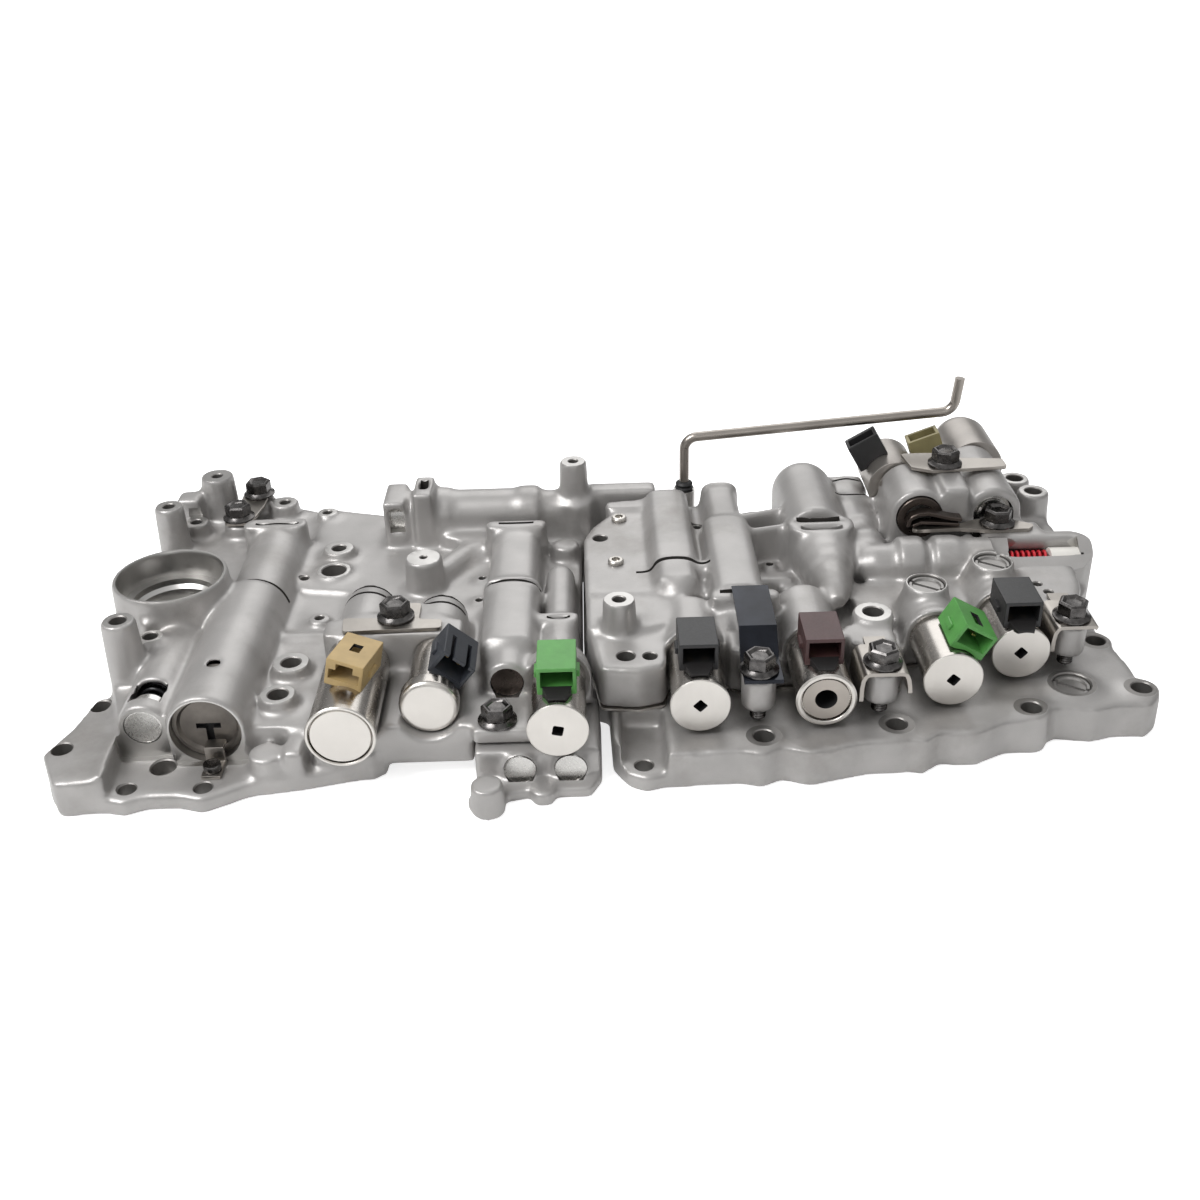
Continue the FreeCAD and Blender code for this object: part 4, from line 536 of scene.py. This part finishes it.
for key, (nylon, slot) in MOULDED.items():
    x, face, z, r, length, hole_turn, tilt, turn = SOLENOIDS[key]
    seat = r * NECK if key == "b" else r - 0.6
    middle = face + length - PLUG_L / 2 - (14 if key == "a" else 5)
    top, wall = seat + PLUG_H + 0.5, 1.3
    half, front = PLUG_W / 2, -PLUG_L / 2
    lay = (Matrix.Translation((x, middle, z)) @ Matrix.Rotation(math.radians(tilt), 4, "Y")
           @ Matrix.Translation((0, 0, seat)) @ Matrix.Rotation(math.radians(turn), 4, "Z")
           @ Matrix.Translation((0, 0, -seat)))
    block = brick(-half, half, front, -front, seat - 1.2, top)
    shell = chamfered(made("connector_" + key, [moved(block, lay)], [nylon]), 0.5, 2)
    mouth = brick(-half + wall, half - wall, front - 1, 5, seat + 1.6, top - wall)
    cuts = [(*moved(mouth, lay), nylon)]
    if key == "a":
        low_mouth = brick(-half + wall, half - wall, front - 1, 5, seat + 1.6, seat + 5.6)
        cuts[0] = (*moved(low_mouth, lay), nylon)
        cuts.append((*moved(brick(-3.2, 3.2, front - 1, 5, seat + 5.5, top - wall), lay), nylon))
        # The latch window's walls take painted shade.
        cuts.append((*moved(brick(-1.9, 1.9, -1.5, 3.5, top - 3, top + 1), lay), opening_shade))
    if key == "f":
        # The latch window's walls take painted shade.
        cuts.append((*moved(brick(-1.8, 1.8, -5.5, 3, top - 3, top + 1), lay), opening_shade))
    if key == "b":
        cuts += [(*moved(brick(s - 0.9, s + 0.9, front - 1, 4, top - 2.2, top + 1), lay), nylon)
                 for s in (-3.4, 3.4)]
    cuts.append((*drum((x, middle - 20, z), (x, middle + 20, z), seat + 0.05, sides=96), nylon))
    machined_by(shell, cuts)
    lugs = [moved(brick(x0, x0 + 1.5, -3.5, 2.5, seat + 1.8, seat + 4.4), lay)
            for x0 in (-half - 1.1, half - 0.4)]
    side_lugs = chamfered(made("lugs_" + key, lugs, [nylon]), 0.3, 1)
    blades = [moved(brick(s - 0.9, s + 0.9, -2, 4.9, seat + 3.4, seat + 4.1), lay) for s in (-2.6, 2.6)]
    pins = made("blades_" + key, blades, [brass])
    installed(shell, "valve_body", slot, "solenoid_%s_connector" % key)
    installed(side_lugs, "valve_body", slot)
    installed(pins, "valve_body", "bright_steel")
    if key in "cdeg":
        wide, narrow, reach = half - 1.5, half - 4.0, front - 5.5
        points = [(-narrow, reach, seat - 2), (narrow, reach, seat - 2), (wide, front + 1, seat - 2.5),
                  (-wide, front + 1, seat - 2.5), (-narrow, reach, seat + 0.5), (narrow, reach, seat + 0.5),
                  (wide, front + 1, seat + 1.9), (-wide, front + 1, seat + 1.9)]
        foot = made("foot_" + key, [moved((points, brick(0, 1, 0, 1, 0, 1)[1]), lay)], [foot_black])
        chamfered(foot, 0.3, 2)
        under = drum((x, middle - 30, z), (x, middle + 20, z), seat + 0.05, sides=96)
        machined_by(foot, [(*under, foot_black)])
        installed(foot, "valve_body", "black_plastic")


# REAR SOLENOIDS
# Two larger cans behind the right housing. Their sockets stand on short necks, one black with an open loop
# and one olive, and the dark hook and the bright ring close the bores in front of them.
SLOTS = {row["node"]: row["material_slot"] for row in frame["record"]["subparts"]}
BODIES = {node: body for body, group in frame["record"]["behaviour"]["bodies"].items() for node in group}


def refined(node, finish, width=0.25, tools=()):
    """A CAD solid with its flat faces joined, its edges broken and its own finish."""
    piece = made(node + "_piece", [], [finish])
    work = bmesh.new()
    work.from_mesh(frame["nodes"][node].data)
    bmesh.ops.remove_doubles(work, verts=work.verts, dist=MERGE)
    bmesh.ops.dissolve_limit(work, angle_limit=math.radians(0.6), verts=work.verts, edges=work.edges)
    for face in work.faces:
        face.material_index = 0
    work.to_mesh(piece.data)
    work.free()
    piece.data.materials.clear()
    piece.data.materials.append(finish)
    if width:
        chamfered(piece, width)
    machined_by(piece, tools)
    return installed(piece, BODIES[node], SLOTS[node], node)


black_plug = plastic("black_moulding", (0.02, 0.02, 0.021))
olive = plastic("olive_nylon", (0.27, 0.235, 0.115))
rear_can = surface("rear_can", (0.40, 0.375, 0.35), 0.38, 0.9, grain=700, depth=0.02, tones=0.1)
brown_plug = surface("oiled_plug", (0.10, 0.082, 0.072), 0.3, 0.9, grain=900, depth=0.02, tones=0.3)
turned_plug = surface("turned_plug", (0.62, 0.61, 0.59), 0.28, 1.0, grain=1200, depth=0.01)
refined("solenoid_h_can", rear_can, 0.5)
refined("solenoid_i_can", rear_can, 0.4)
refined("solenoid_h_connector", black_plug, 0.5)
refined("solenoid_i_connector", olive, 0.4)
refined("pressure_plug", turned_plug, 0.25)

# CLAMPS AND SHEET PARTS
# Pressed from thin steel sheet and held by the flange bolts: the clamps are plain and a little shiny, the
# sprung harness clip is blued by tempering, and the oiled hook sits in the mouth of a rear bore.
pressed = surface("pressed_steel", (0.40, 0.375, 0.345), 0.33, 1.0, grain=900, depth=0.015, tones=0.1)
blued = surface("blued_steel", (0.014, 0.016, 0.022), 0.20, 0.7, grain=500, depth=0.008, tones=0.4,
                spots=120)
sheet_edge = surface("sheet_steel", (0.52, 0.50, 0.47), 0.35, 1.0, grain=900, depth=0.01)


def strip(path, y0, y1, thick):
    """Bent sheet along Y: its upper face follows the (x, z) path from left to right."""
    sections = []
    for i, (x, z) in enumerate(path):
        before, after = path[max(i - 1, 0)], path[min(i + 1, len(path) - 1)]
        run = math.hypot(after[0] - before[0], after[1] - before[1])
        dx, dz = thick * (after[1] - before[1]) / run, thick * (before[0] - after[0]) / run
        sections.append([(x, y0, z), (x + dx, y0, z + dz), (x + dx, y1, z + dz), (x, y1, z)])
    return barred(sections)


STRAPS = {  # bolt x and y, path of the bent sheet from its left wing
    "clamp_strap_middle": (97.5, -40.5, [
        (88.5, 25.5), (88.5, 31), (88.9, 34.2), (89.9, 36.2), (91.6, 37.2), (103.6, 37.2), (105.4, 36.4),
        (106.4, 34.4), (107.0, 31.5), (107.3, 28.5)]),
    "clamp_strap_right": (173.5, -12.7, [
        (164.9, 26.5), (164.9, 31), (165.3, 34.2), (166.3, 36.2), (168.0, 37.2), (180.4, 37.2),
        (181.6, 36.6)])}
for node, (x, y, path) in STRAPS.items():
    strap = made(node + "_sheet", [strip(path, y - 7.3, y + 12.5, 1.5)], [pressed])
    tongue = brick(x - 4, x + 4, y + 12, y + 18, 35.8, 37.1)
    machined_by(strap, [(*tongue, pressed)], "UNION")
    machined_by(strap, [(*drum((x, y, 30), (x, y, 40), 3.3), pressed)])
    chamfered(strap, 0.25)
    installed(strap, "valve_body", SLOTS[node], node)
for node, finish, width in (("separator_sheet", sheet_edge, 0.12), ("left_retainer_plate", pressed, 0.25),
                            ("harness_clip", blued, 0.3), ("rear_clamp_plate", pressed, 0.3),
                            ("lever_plate", pressed, 0.3), ("tab_bracket", pressed, 0.3),
                            ("bore_keys", pressed, 0.2), ("accumulator_clip", pressed, 0.3)):
    refined(node, finish, width)

hook = made("hook_retainer", [
    turned([(0, 6), (0, 9.2), (3.7, 9.2), (3.7, 6), (0, 6)], (BACK_X, 55.8, BACK_Z), BACK),
    strip([(124.2, 43.8), (124.6, 46.4), (126.0, 48.6), (129, 49.9), (133, 50.2), (138, 48.9), (143, 47.6),
           (147, 47.0)], 51.2, 56.2, 1.6),
    strip([(126.5, 44.6), (130, 46.2), (138, 45.6), (146, 44.8)], 51.0, 55.0, 1.3)], [brown_plug])
chamfered(hook, 0.25, 1)
installed(hook, "valve_body", SLOTS["lever_retainer"], "lever_retainer")

# FASTENERS
# Hexagon bolts forged in one piece with a round flange, phosphated dark with worn edges; round-headed
# screws with a socket; and slotted screw plugs with a raised rim.
def named_input(tree, name, kind):
    tree.interface.new_socket(name, in_out="INPUT", socket_type="NodeSocket" + kind)


def given(modifier, values):
    """Sets a modifier's inputs by their sockets' identifiers."""
    for item in modifier.node_group.interface.items_tree:
        if item.in_out == "INPUT" and item.name in values:
            modifier[item.identifier] = values[item.name]


def set_out_tree():
    """Tree that sets a head and a shank on each point; the head takes a random turn, the shank a length."""
    tree = bpy.data.node_groups.new("set_out_fasteners", "GeometryNodeTree")
    for name, kind in (("Geometry", "Geometry"), ("Head", "Object"), ("Shank", "Object"), ("Turn", "Float"),
                       ("Seed", "Int"), ("Finish", "Material")):
        named_input(tree, name, kind)
    tree.interface.new_socket("Geometry", in_out="OUTPUT", socket_type="NodeSocketGeometry")
    nodes, links = tree.nodes, tree.links
    given_in, result = nodes.new("NodeGroupInput"), nodes.new("NodeGroupOutput")
    joined = nodes.new("GeometryNodeJoinGeometry")
    spread = nodes.new("FunctionNodeRandomValue")
    links.new(given_in.outputs["Turn"], spread.inputs[3])
    links.new(given_in.outputs["Seed"], spread.inputs["Seed"])
    heading = nodes.new("ShaderNodeCombineXYZ")
    links.new(spread.outputs[1], heading.inputs["Z"])
    reach = nodes.new("GeometryNodeInputNamedAttribute")
    reach.data_type = "FLOAT"
    reach.inputs["Name"].default_value = "reach"
    size = nodes.new("ShaderNodeCombineXYZ")
    size.inputs["X"].default_value = size.inputs["Y"].default_value = 1
    links.new(reach.outputs["Attribute"], size.inputs["Z"])
    for source, socket, value in (("Head", "Rotation", heading), ("Shank", "Scale", size)):
        pattern = nodes.new("GeometryNodeObjectInfo")
        links.new(given_in.outputs[source], pattern.inputs["Object"])
        placed = nodes.new("GeometryNodeInstanceOnPoints")
        links.new(given_in.outputs["Geometry"], placed.inputs["Points"])
        links.new(pattern.outputs["Geometry"], placed.inputs["Instance"])
        links.new(value.outputs["Vector"], placed.inputs[socket])
        links.new(placed.outputs["Instances"], joined.inputs["Geometry"])
    real = nodes.new("GeometryNodeRealizeInstances")
    finish = nodes.new("GeometryNodeSetMaterial")
    links.new(joined.outputs["Geometry"], real.inputs["Geometry"])
    links.new(real.outputs["Geometry"], finish.inputs["Geometry"])
    links.new(given_in.outputs["Finish"], finish.inputs["Material"])
    links.new(finish.outputs["Geometry"], result.inputs["Geometry"])
    return tree


SET_OUT = set_out_tree()


def set_out(name, places, head, finish, turn=0.0, shank=(), seed=7):
    """Fasteners at (x, y, z, shank length) places, as one piece."""
    patterns = [made("head", head, [finish]), made("shank", shank, [finish])]
    piece = made(name, [([place[:3] for place in places], [])], [finish])
    reach = piece.data.attributes.new("reach", "FLOAT", "POINT")
    reach.data.foreach_set("value", [place[3] for place in places])
    layout = piece.modifiers.new("layout", "NODES")
    layout.node_group = SET_OUT
    given(layout, {"Head": patterns[0], "Shank": patterns[1], "Turn": turn, "Seed": seed, "Finish": finish})
    applied(piece)
    for pattern in patterns:
        bpy.data.objects.remove(pattern)
    return piece


def hexagon(rings):
    """Six-sided solid through (height, corner radius) rings, closed by a point at the top."""
    points, faces = [], [[5, 4, 3, 2, 1, 0]]
    for height, radius in rings[:-1]:
        points += [(radius * math.cos(math.pi / 3 * i), radius * math.sin(math.pi / 3 * i), height)
                   for i in range(6)]
    points.append((0, 0, rings[-1][0]))
    for k in range(len(rings) - 2):
        faces += [[6 * k + i, 6 * k + (i + 1) % 6, 6 * k + 6 + (i + 1) % 6, 6 * k + 6 + i] for i in range(6)]
    last = 6 * (len(rings) - 2)
    faces += [[last + i, last + (i + 1) % 6, last + 6] for i in range(6)]
    return points, faces


bolt_steel = surface("phosphated_bolt", (0.105, 0.10, 0.098), 0.26, 1.0, grain=700, depth=0.02, tones=0.4,
                     spots=420)
BOLTS = [(53.0, -43.0, 37.2, 20), (97.5, -40.5, 37.2, 20), (173.5, -12.7, 37.2, 20),
         (-80.8, -2.3, 39.6, 12), (-41.0, -48.0, 22.0, 6), (-166.0, 111.5, 27.6, 8),
         (-161.5, 136.0, 27.6, 8), (144.5, 78.0, 59.6, 12), (162.0, 53.0, 43.6, 5)]
CORNER_R = 5.0 / math.cos(math.pi / 6)
bolt_head = [hexagon([(1.7, CORNER_R - 0.3), (2.1, CORNER_R), (6.2, CORNER_R), (6.9, CORNER_R - 0.7),
                      (6.95, 4.5), (6.6, 3.9), (6.0, 3.2), (5.8,)]),
             turned([(0, 0), (0, 6.7), (0.3, 7.1), (0.9, 7.1), (1.3, 6.3), (2.2, 5.4), (2.2, 0)], (0, 0, 0),
                    sides=40)]
thread = [(-1, 0), (-1, 2.2), (-0.97, 2.9)]
for i in range(18):
    thread += [(-0.95 + 0.05 * i, 2.95), (-0.925 + 0.05 * i, 2.6)]
thread += [(-0.04, 2.95), (0, 2.95), (0, 0)]
bolts = set_out("flange_bolt_set", BOLTS, bolt_head, bolt_steel, turn=1.05,
                shank=[turned(thread, (0, 0, 0), sides=24)])
installed(bolts, "valve_body", "dark_steel", "flange_bolts")

socket_screw = surface("bright_screw", (0.50, 0.48, 0.45), 0.28, 1.0, grain=900, depth=0.01)
screw_head = [turned([(0, 0), (0, 3.0), (0.4, 3.25), (1.3, 3.2), (1.75, 2.7), (1.8, 1.7), (0.7, 1.5),
                      (0.7, 0)], (0, 0, 0), sides=32)]
screws = set_out("flange_screw_set", [(6.2, 77.2, 38, 1), (3.9, 38.5, 38, 1)], screw_head, socket_screw)
installed(screws, "valve_body", SLOTS["flange_screws"], "flange_screws")

plug_metal = surface("screw_plug", (0.33, 0.32, 0.31), 0.40, 0.75, grain=1500, depth=0.02, tones=0.15)
plug_face = made("slotted_pattern", [turned(
    [(-3, 0), (-3, 6.8), (-0.3, 6.8), (0, 6.5), (0, 5.6), (-0.8, 5.2), (-0.8, 0)], (0, 0, 0),
    sides=64)], [plug_metal])
driver = Matrix.Rotation(math.radians(-35), 4, "Z")
machined_by(plug_face, [(*moved(brick(-8, 8, -0.75, 0.75, -1.9, 1), driver), shade)])
plug_parts = [([v.co / MM for v in plug_face.data.vertices],
               [list(p.vertices) for p in plug_face.data.polygons])]
bpy.data.objects.remove(plug_face)
plugs = set_out("screw_plug_set", [(123.2, 7.6, 41, 1), (152.7, 23.5, 41, 1), (172.1, -27.3, 16.1, 1)],
                plug_parts, plug_metal)
installed(plugs, "valve_body", SLOTS["slotted_plugs"], "slotted_plugs")
refined("clip_screw", bolt_steel, 0.5)


# SPRINGS
# Wound wire: a black spring shows through the damper's window, a red one in the relay's slot, and a bright
# one stands behind the wide piston.
def spring_tree():
    tree = bpy.data.node_groups.new("wind_spring", "GeometryNodeTree")
    for name, kind in (("Turns", "Float"), ("Radius", "Float"), ("Length", "Float"), ("Wire", "Float"),
                       ("Finish", "Material")):
        named_input(tree, name, kind)
    tree.interface.new_socket("Geometry", in_out="OUTPUT", socket_type="NodeSocketGeometry")
    nodes, links = tree.nodes, tree.links
    given_in, result = nodes.new("NodeGroupInput"), nodes.new("NodeGroupOutput")
    helix, wire = nodes.new("GeometryNodeCurveSpiral"), nodes.new("GeometryNodeCurvePrimitiveCircle")
    helix.inputs["Resolution"].default_value = 28
    wire.inputs["Resolution"].default_value = 10
    for name, socket in (("Turns", "Rotations"), ("Radius", "Start Radius"), ("Radius", "End Radius"),
                         ("Length", "Height")):
        links.new(given_in.outputs[name], helix.inputs[socket])
    links.new(given_in.outputs["Wire"], wire.inputs["Radius"])
    tube = nodes.new("GeometryNodeCurveToMesh")
    tube.inputs["Fill Caps"].default_value = True
    links.new(helix.outputs["Curve"], tube.inputs["Curve"])
    links.new(wire.outputs["Curve"], tube.inputs["Profile Curve"])
    real = nodes.new("GeometryNodeRealizeInstances")
    finish = nodes.new("GeometryNodeSetMaterial")
    links.new(tube.outputs["Mesh"], real.inputs["Geometry"])
    links.new(real.outputs["Geometry"], finish.inputs["Geometry"])
    links.new(given_in.outputs["Finish"], finish.inputs["Material"])
    links.new(finish.outputs["Geometry"], result.inputs["Geometry"])
    return tree


SPRING = spring_tree()


def wound(name, node, slot, start, axis, turns, radius, length, wire, finish):
    """Spring wound along an axis, in place of its CAD node."""
    piece = made(name, [], [finish])
    winding = piece.modifiers.new("winding", "NODES")
    winding.node_group = SPRING
    given(winding, {"Turns": turns, "Radius": radius * MM, "Length": length * MM, "Wire": wire * MM,
                    "Finish": finish})
    applied(piece)
    lay = Vector(UP).rotation_difference(Vector(axis)).to_matrix().to_4x4()
    piece.data.transform(Matrix.Translation(Vector(start) * MM) @ lay)
    installed(piece, "valve_body", slot, node)
    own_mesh(piece)
    return piece


black_wire = surface("black_wire", (0.02, 0.02, 0.022), 0.3, 0.6, grain=600, depth=0.01)
red_paint = surface("red_wire", (0.50, 0.02, 0.03), 0.35, 0.0, grain=600, depth=0.01)
bright_wire = surface("bright_wire", (0.5, 0.49, 0.47), 0.3, 1.0, grain=600, depth=0.01)
wound("damper_coil", "damper_spring", "black_spring", (-170, -30.1, 20), BACK, 14.0, 5.0, 55.1, 0.75,
      black_wire)
wound("relay_coil", "relay_spring", "red_spring", (164.6, *RELAY), (1, 0, 0), 7.0, 4.0, 15.7, 0.6,
      red_paint)
wound("accumulator_coil", "accumulator_spring", SLOTS["accumulator_spring"], (-146.5, -37.1, 20), BACK,
      11.0, 8.5, 69.2, 1.0, bright_wire)

# PLUGS AND PISTONS
# Turned parts that close the bores or slide in them, with chamfered ends; the wide piston has a dished
# face with a milled slot for its clip.
grey_piston = surface("grey_piston", (0.17, 0.155, 0.14), 0.36, 0.85, grain=1400, depth=0.02, tones=0.2,
                      spots=150)
white_spool = surface("white_spool", (0.70, 0.68, 0.64), 0.45, 0.0, grain=900, depth=0.01)
refined("damper_plug", turned_plug, 0.6)
refined("damper_piston", turned_plug, 0.4)
refined("centre_plug", brown_plug, 0.5)
refined("under_plugs", turned_plug, 0.5)
refined("rear_plug", turned_plug, 0.8)
refined("relay_spool", white_spool, 0.3)
refined("relay_stop", turned_plug, 0.3)
PISTON_FACE = -43.2
piston_tools = [
    (*turned([(-1, 0), (-1, 11.2), (0, 11.2), (1.3, 10.2), (1.3, 0)], (ACCU[0], PISTON_FACE, ACCU[1]), BACK,
             sides=72), grey_piston),
    # The clip slot's walls take painted shade.
    (*brick(ACCU[0] - 4.5, ACCU[0] + 4.5, PISTON_FACE - 1, PISTON_FACE + 3.4, 18.3, 20.5), opening_shade),
    (*brick(ACCU[0] - 1.2, ACCU[0] + 1.6, PISTON_FACE - 1, PISTON_FACE + 3.4, 12.5, 20), opening_shade)]
refined("accumulator_piston", grey_piston, 0.4, piston_tools)

# MANUAL VALVE AND LINK ROD
# A ground spool with an upright eye, and a bent steel rod that turns in it. A dark rubber grommet with two
# ridges seals the rod over the eye.
rod_steel = surface("rod_steel", (0.36, 0.33, 0.30), 0.3, 1.0, grain=900, depth=0.01, stretch=(0.1, 1, 1))
rubber = surface("black_rubber", (0.015, 0.015, 0.016), 0.5, 0.0, grain=900, depth=0.02)
refined("manual_valve", milled, 0.3)
refined("link_rod", rod_steel, 0)
grommet = made("grommet", [turned(
    [(0.3, 2.2), (0.3, 3.8), (0.9, 4.1), (1.5, 3.8), (1.8, 3.1), (2.1, 3.5), (2.7, 3.8), (3.3, 3.5),
     (3.7, 2.9), (4.0, 2.2), (0.3, 2.2)], (36.0, 104.5, 39.0), sides=40)], [rubber])
installed(grommet, "link_rod", SLOTS["rod_grommet"], "rod_grommet")

# CAMERA, FLOOR AND LIGHT
# The photograph's view: from the front, 30 degrees above the floor, on a white ground.
camera = bpy.data.objects.new("camera", bpy.data.cameras.new("camera"))
bpy.context.scene.collection.objects.link(camera)
camera.data.lens = 42
camera.data.sensor_width = 36
camera.data.clip_start = 0.01
TILT, ROLL = math.radians(60.07), math.radians(-1.7)
camera.matrix_world = (Matrix.Translation((-0.003, -0.462, 0.309)) @ Matrix.Rotation(TILT, 4, "X")
                       @ Matrix.Rotation(ROLL, 4, "Z"))
bpy.context.scene.camera = camera

white = bpy.data.materials.new("floor_white")
white.use_nodes = True
nodes, links = white.node_tree.nodes, white.node_tree.links
nodes["Principled BSDF"].inputs["Base Color"].default_value = (0.80, 0.80, 0.80, 1)
nodes["Principled BSDF"].inputs["Roughness"].default_value = 0.9
glow = nodes.new("ShaderNodeEmission")
both = nodes.new("ShaderNodeAddShader")
path = nodes.new("ShaderNodeLightPath")
SEEN_GLOW, MIRRORED_GLOW = 0.72, 0.25
share = nodes.new("ShaderNodeMath")
share.operation = "MULTIPLY"
share.inputs[1].default_value = SEEN_GLOW
links.new(path.outputs["Is Camera Ray"], share.inputs[0])
mirrored = nodes.new("ShaderNodeMath")
mirrored.operation = "MULTIPLY_ADD"
mirrored.inputs[1].default_value = MIRRORED_GLOW
links.new(path.outputs["Is Glossy Ray"], mirrored.inputs[0])
links.new(share.outputs[0], mirrored.inputs[2])
links.new(mirrored.outputs[0], glow.inputs["Strength"])
links.new(nodes["Principled BSDF"].outputs["BSDF"], both.inputs[0])
links.new(glow.outputs["Emission"], both.inputs[1])
links.new(both.outputs["Shader"], nodes["Material Output"].inputs["Surface"])
FAR = 9000
floor = made("floor", [([(-FAR, -FAR, 0), (FAR, -FAR, 0), (FAR, FAR, 0), (-FAR, FAR, 0)], [[0, 1, 2, 3]])],
             [white])

world = bpy.data.worlds.new("studio")
bpy.context.scene.world = world
world.use_nodes = True
nodes, links = world.node_tree.nodes, world.node_tree.links
seen = nodes.new("ShaderNodeBackground")
seen.inputs["Color"].default_value = (1, 1, 1, 1)
room = nodes["Background"]
room.inputs["Strength"].default_value = 0.64
way = nodes.new("ShaderNodeTexCoord")
split = nodes.new("ShaderNodeSeparateXYZ")
links.new(way.outputs["Generated"], split.inputs["Vector"])
sky = nodes.new("ShaderNodeValToRGB")
sky.color_ramp.elements[0].position, sky.color_ramp.elements[0].color = 0.0, (0.16, 0.155, 0.15, 1)
sky.color_ramp.elements[1].position, sky.color_ramp.elements[1].color = 0.8, (1, 1, 1, 1)
links.new(split.outputs["Z"], sky.inputs["Fac"])
links.new(sky.outputs["Color"], room.inputs["Color"])
mix = nodes.new("ShaderNodeMixShader")
path = nodes.new("ShaderNodeLightPath")
links.new(path.outputs["Is Camera Ray"], mix.inputs["Fac"])
links.new(room.outputs["Background"], mix.inputs[1])
links.new(seen.outputs["Background"], mix.inputs[2])
links.new(mix.outputs["Shader"], nodes["World Output"].inputs["Surface"])


def lamp(name, place, target, size, power):
    light = bpy.data.objects.new(name, bpy.data.lights.new(name, "AREA"))
    bpy.context.scene.collection.objects.link(light)
    light.data.energy = power
    light.data.size = size
    light.location = place
    light.rotation_euler = (Vector(target) - Vector(place)).to_track_quat("-Z", "Y").to_euler()


lamp("key", (-0.65, -0.35, 0.9), (0, 0, 0), 0.55, 9.5)
lamp("fill", (0.1, -1.2, 0.55), (0, 0, 0), 0.7, 1.1)
lamp("back", (0.1, 0.9, 0.8), (0, 0, 0), 0.9, 3.8)

bpy.context.scene.view_settings.view_transform = "Standard"
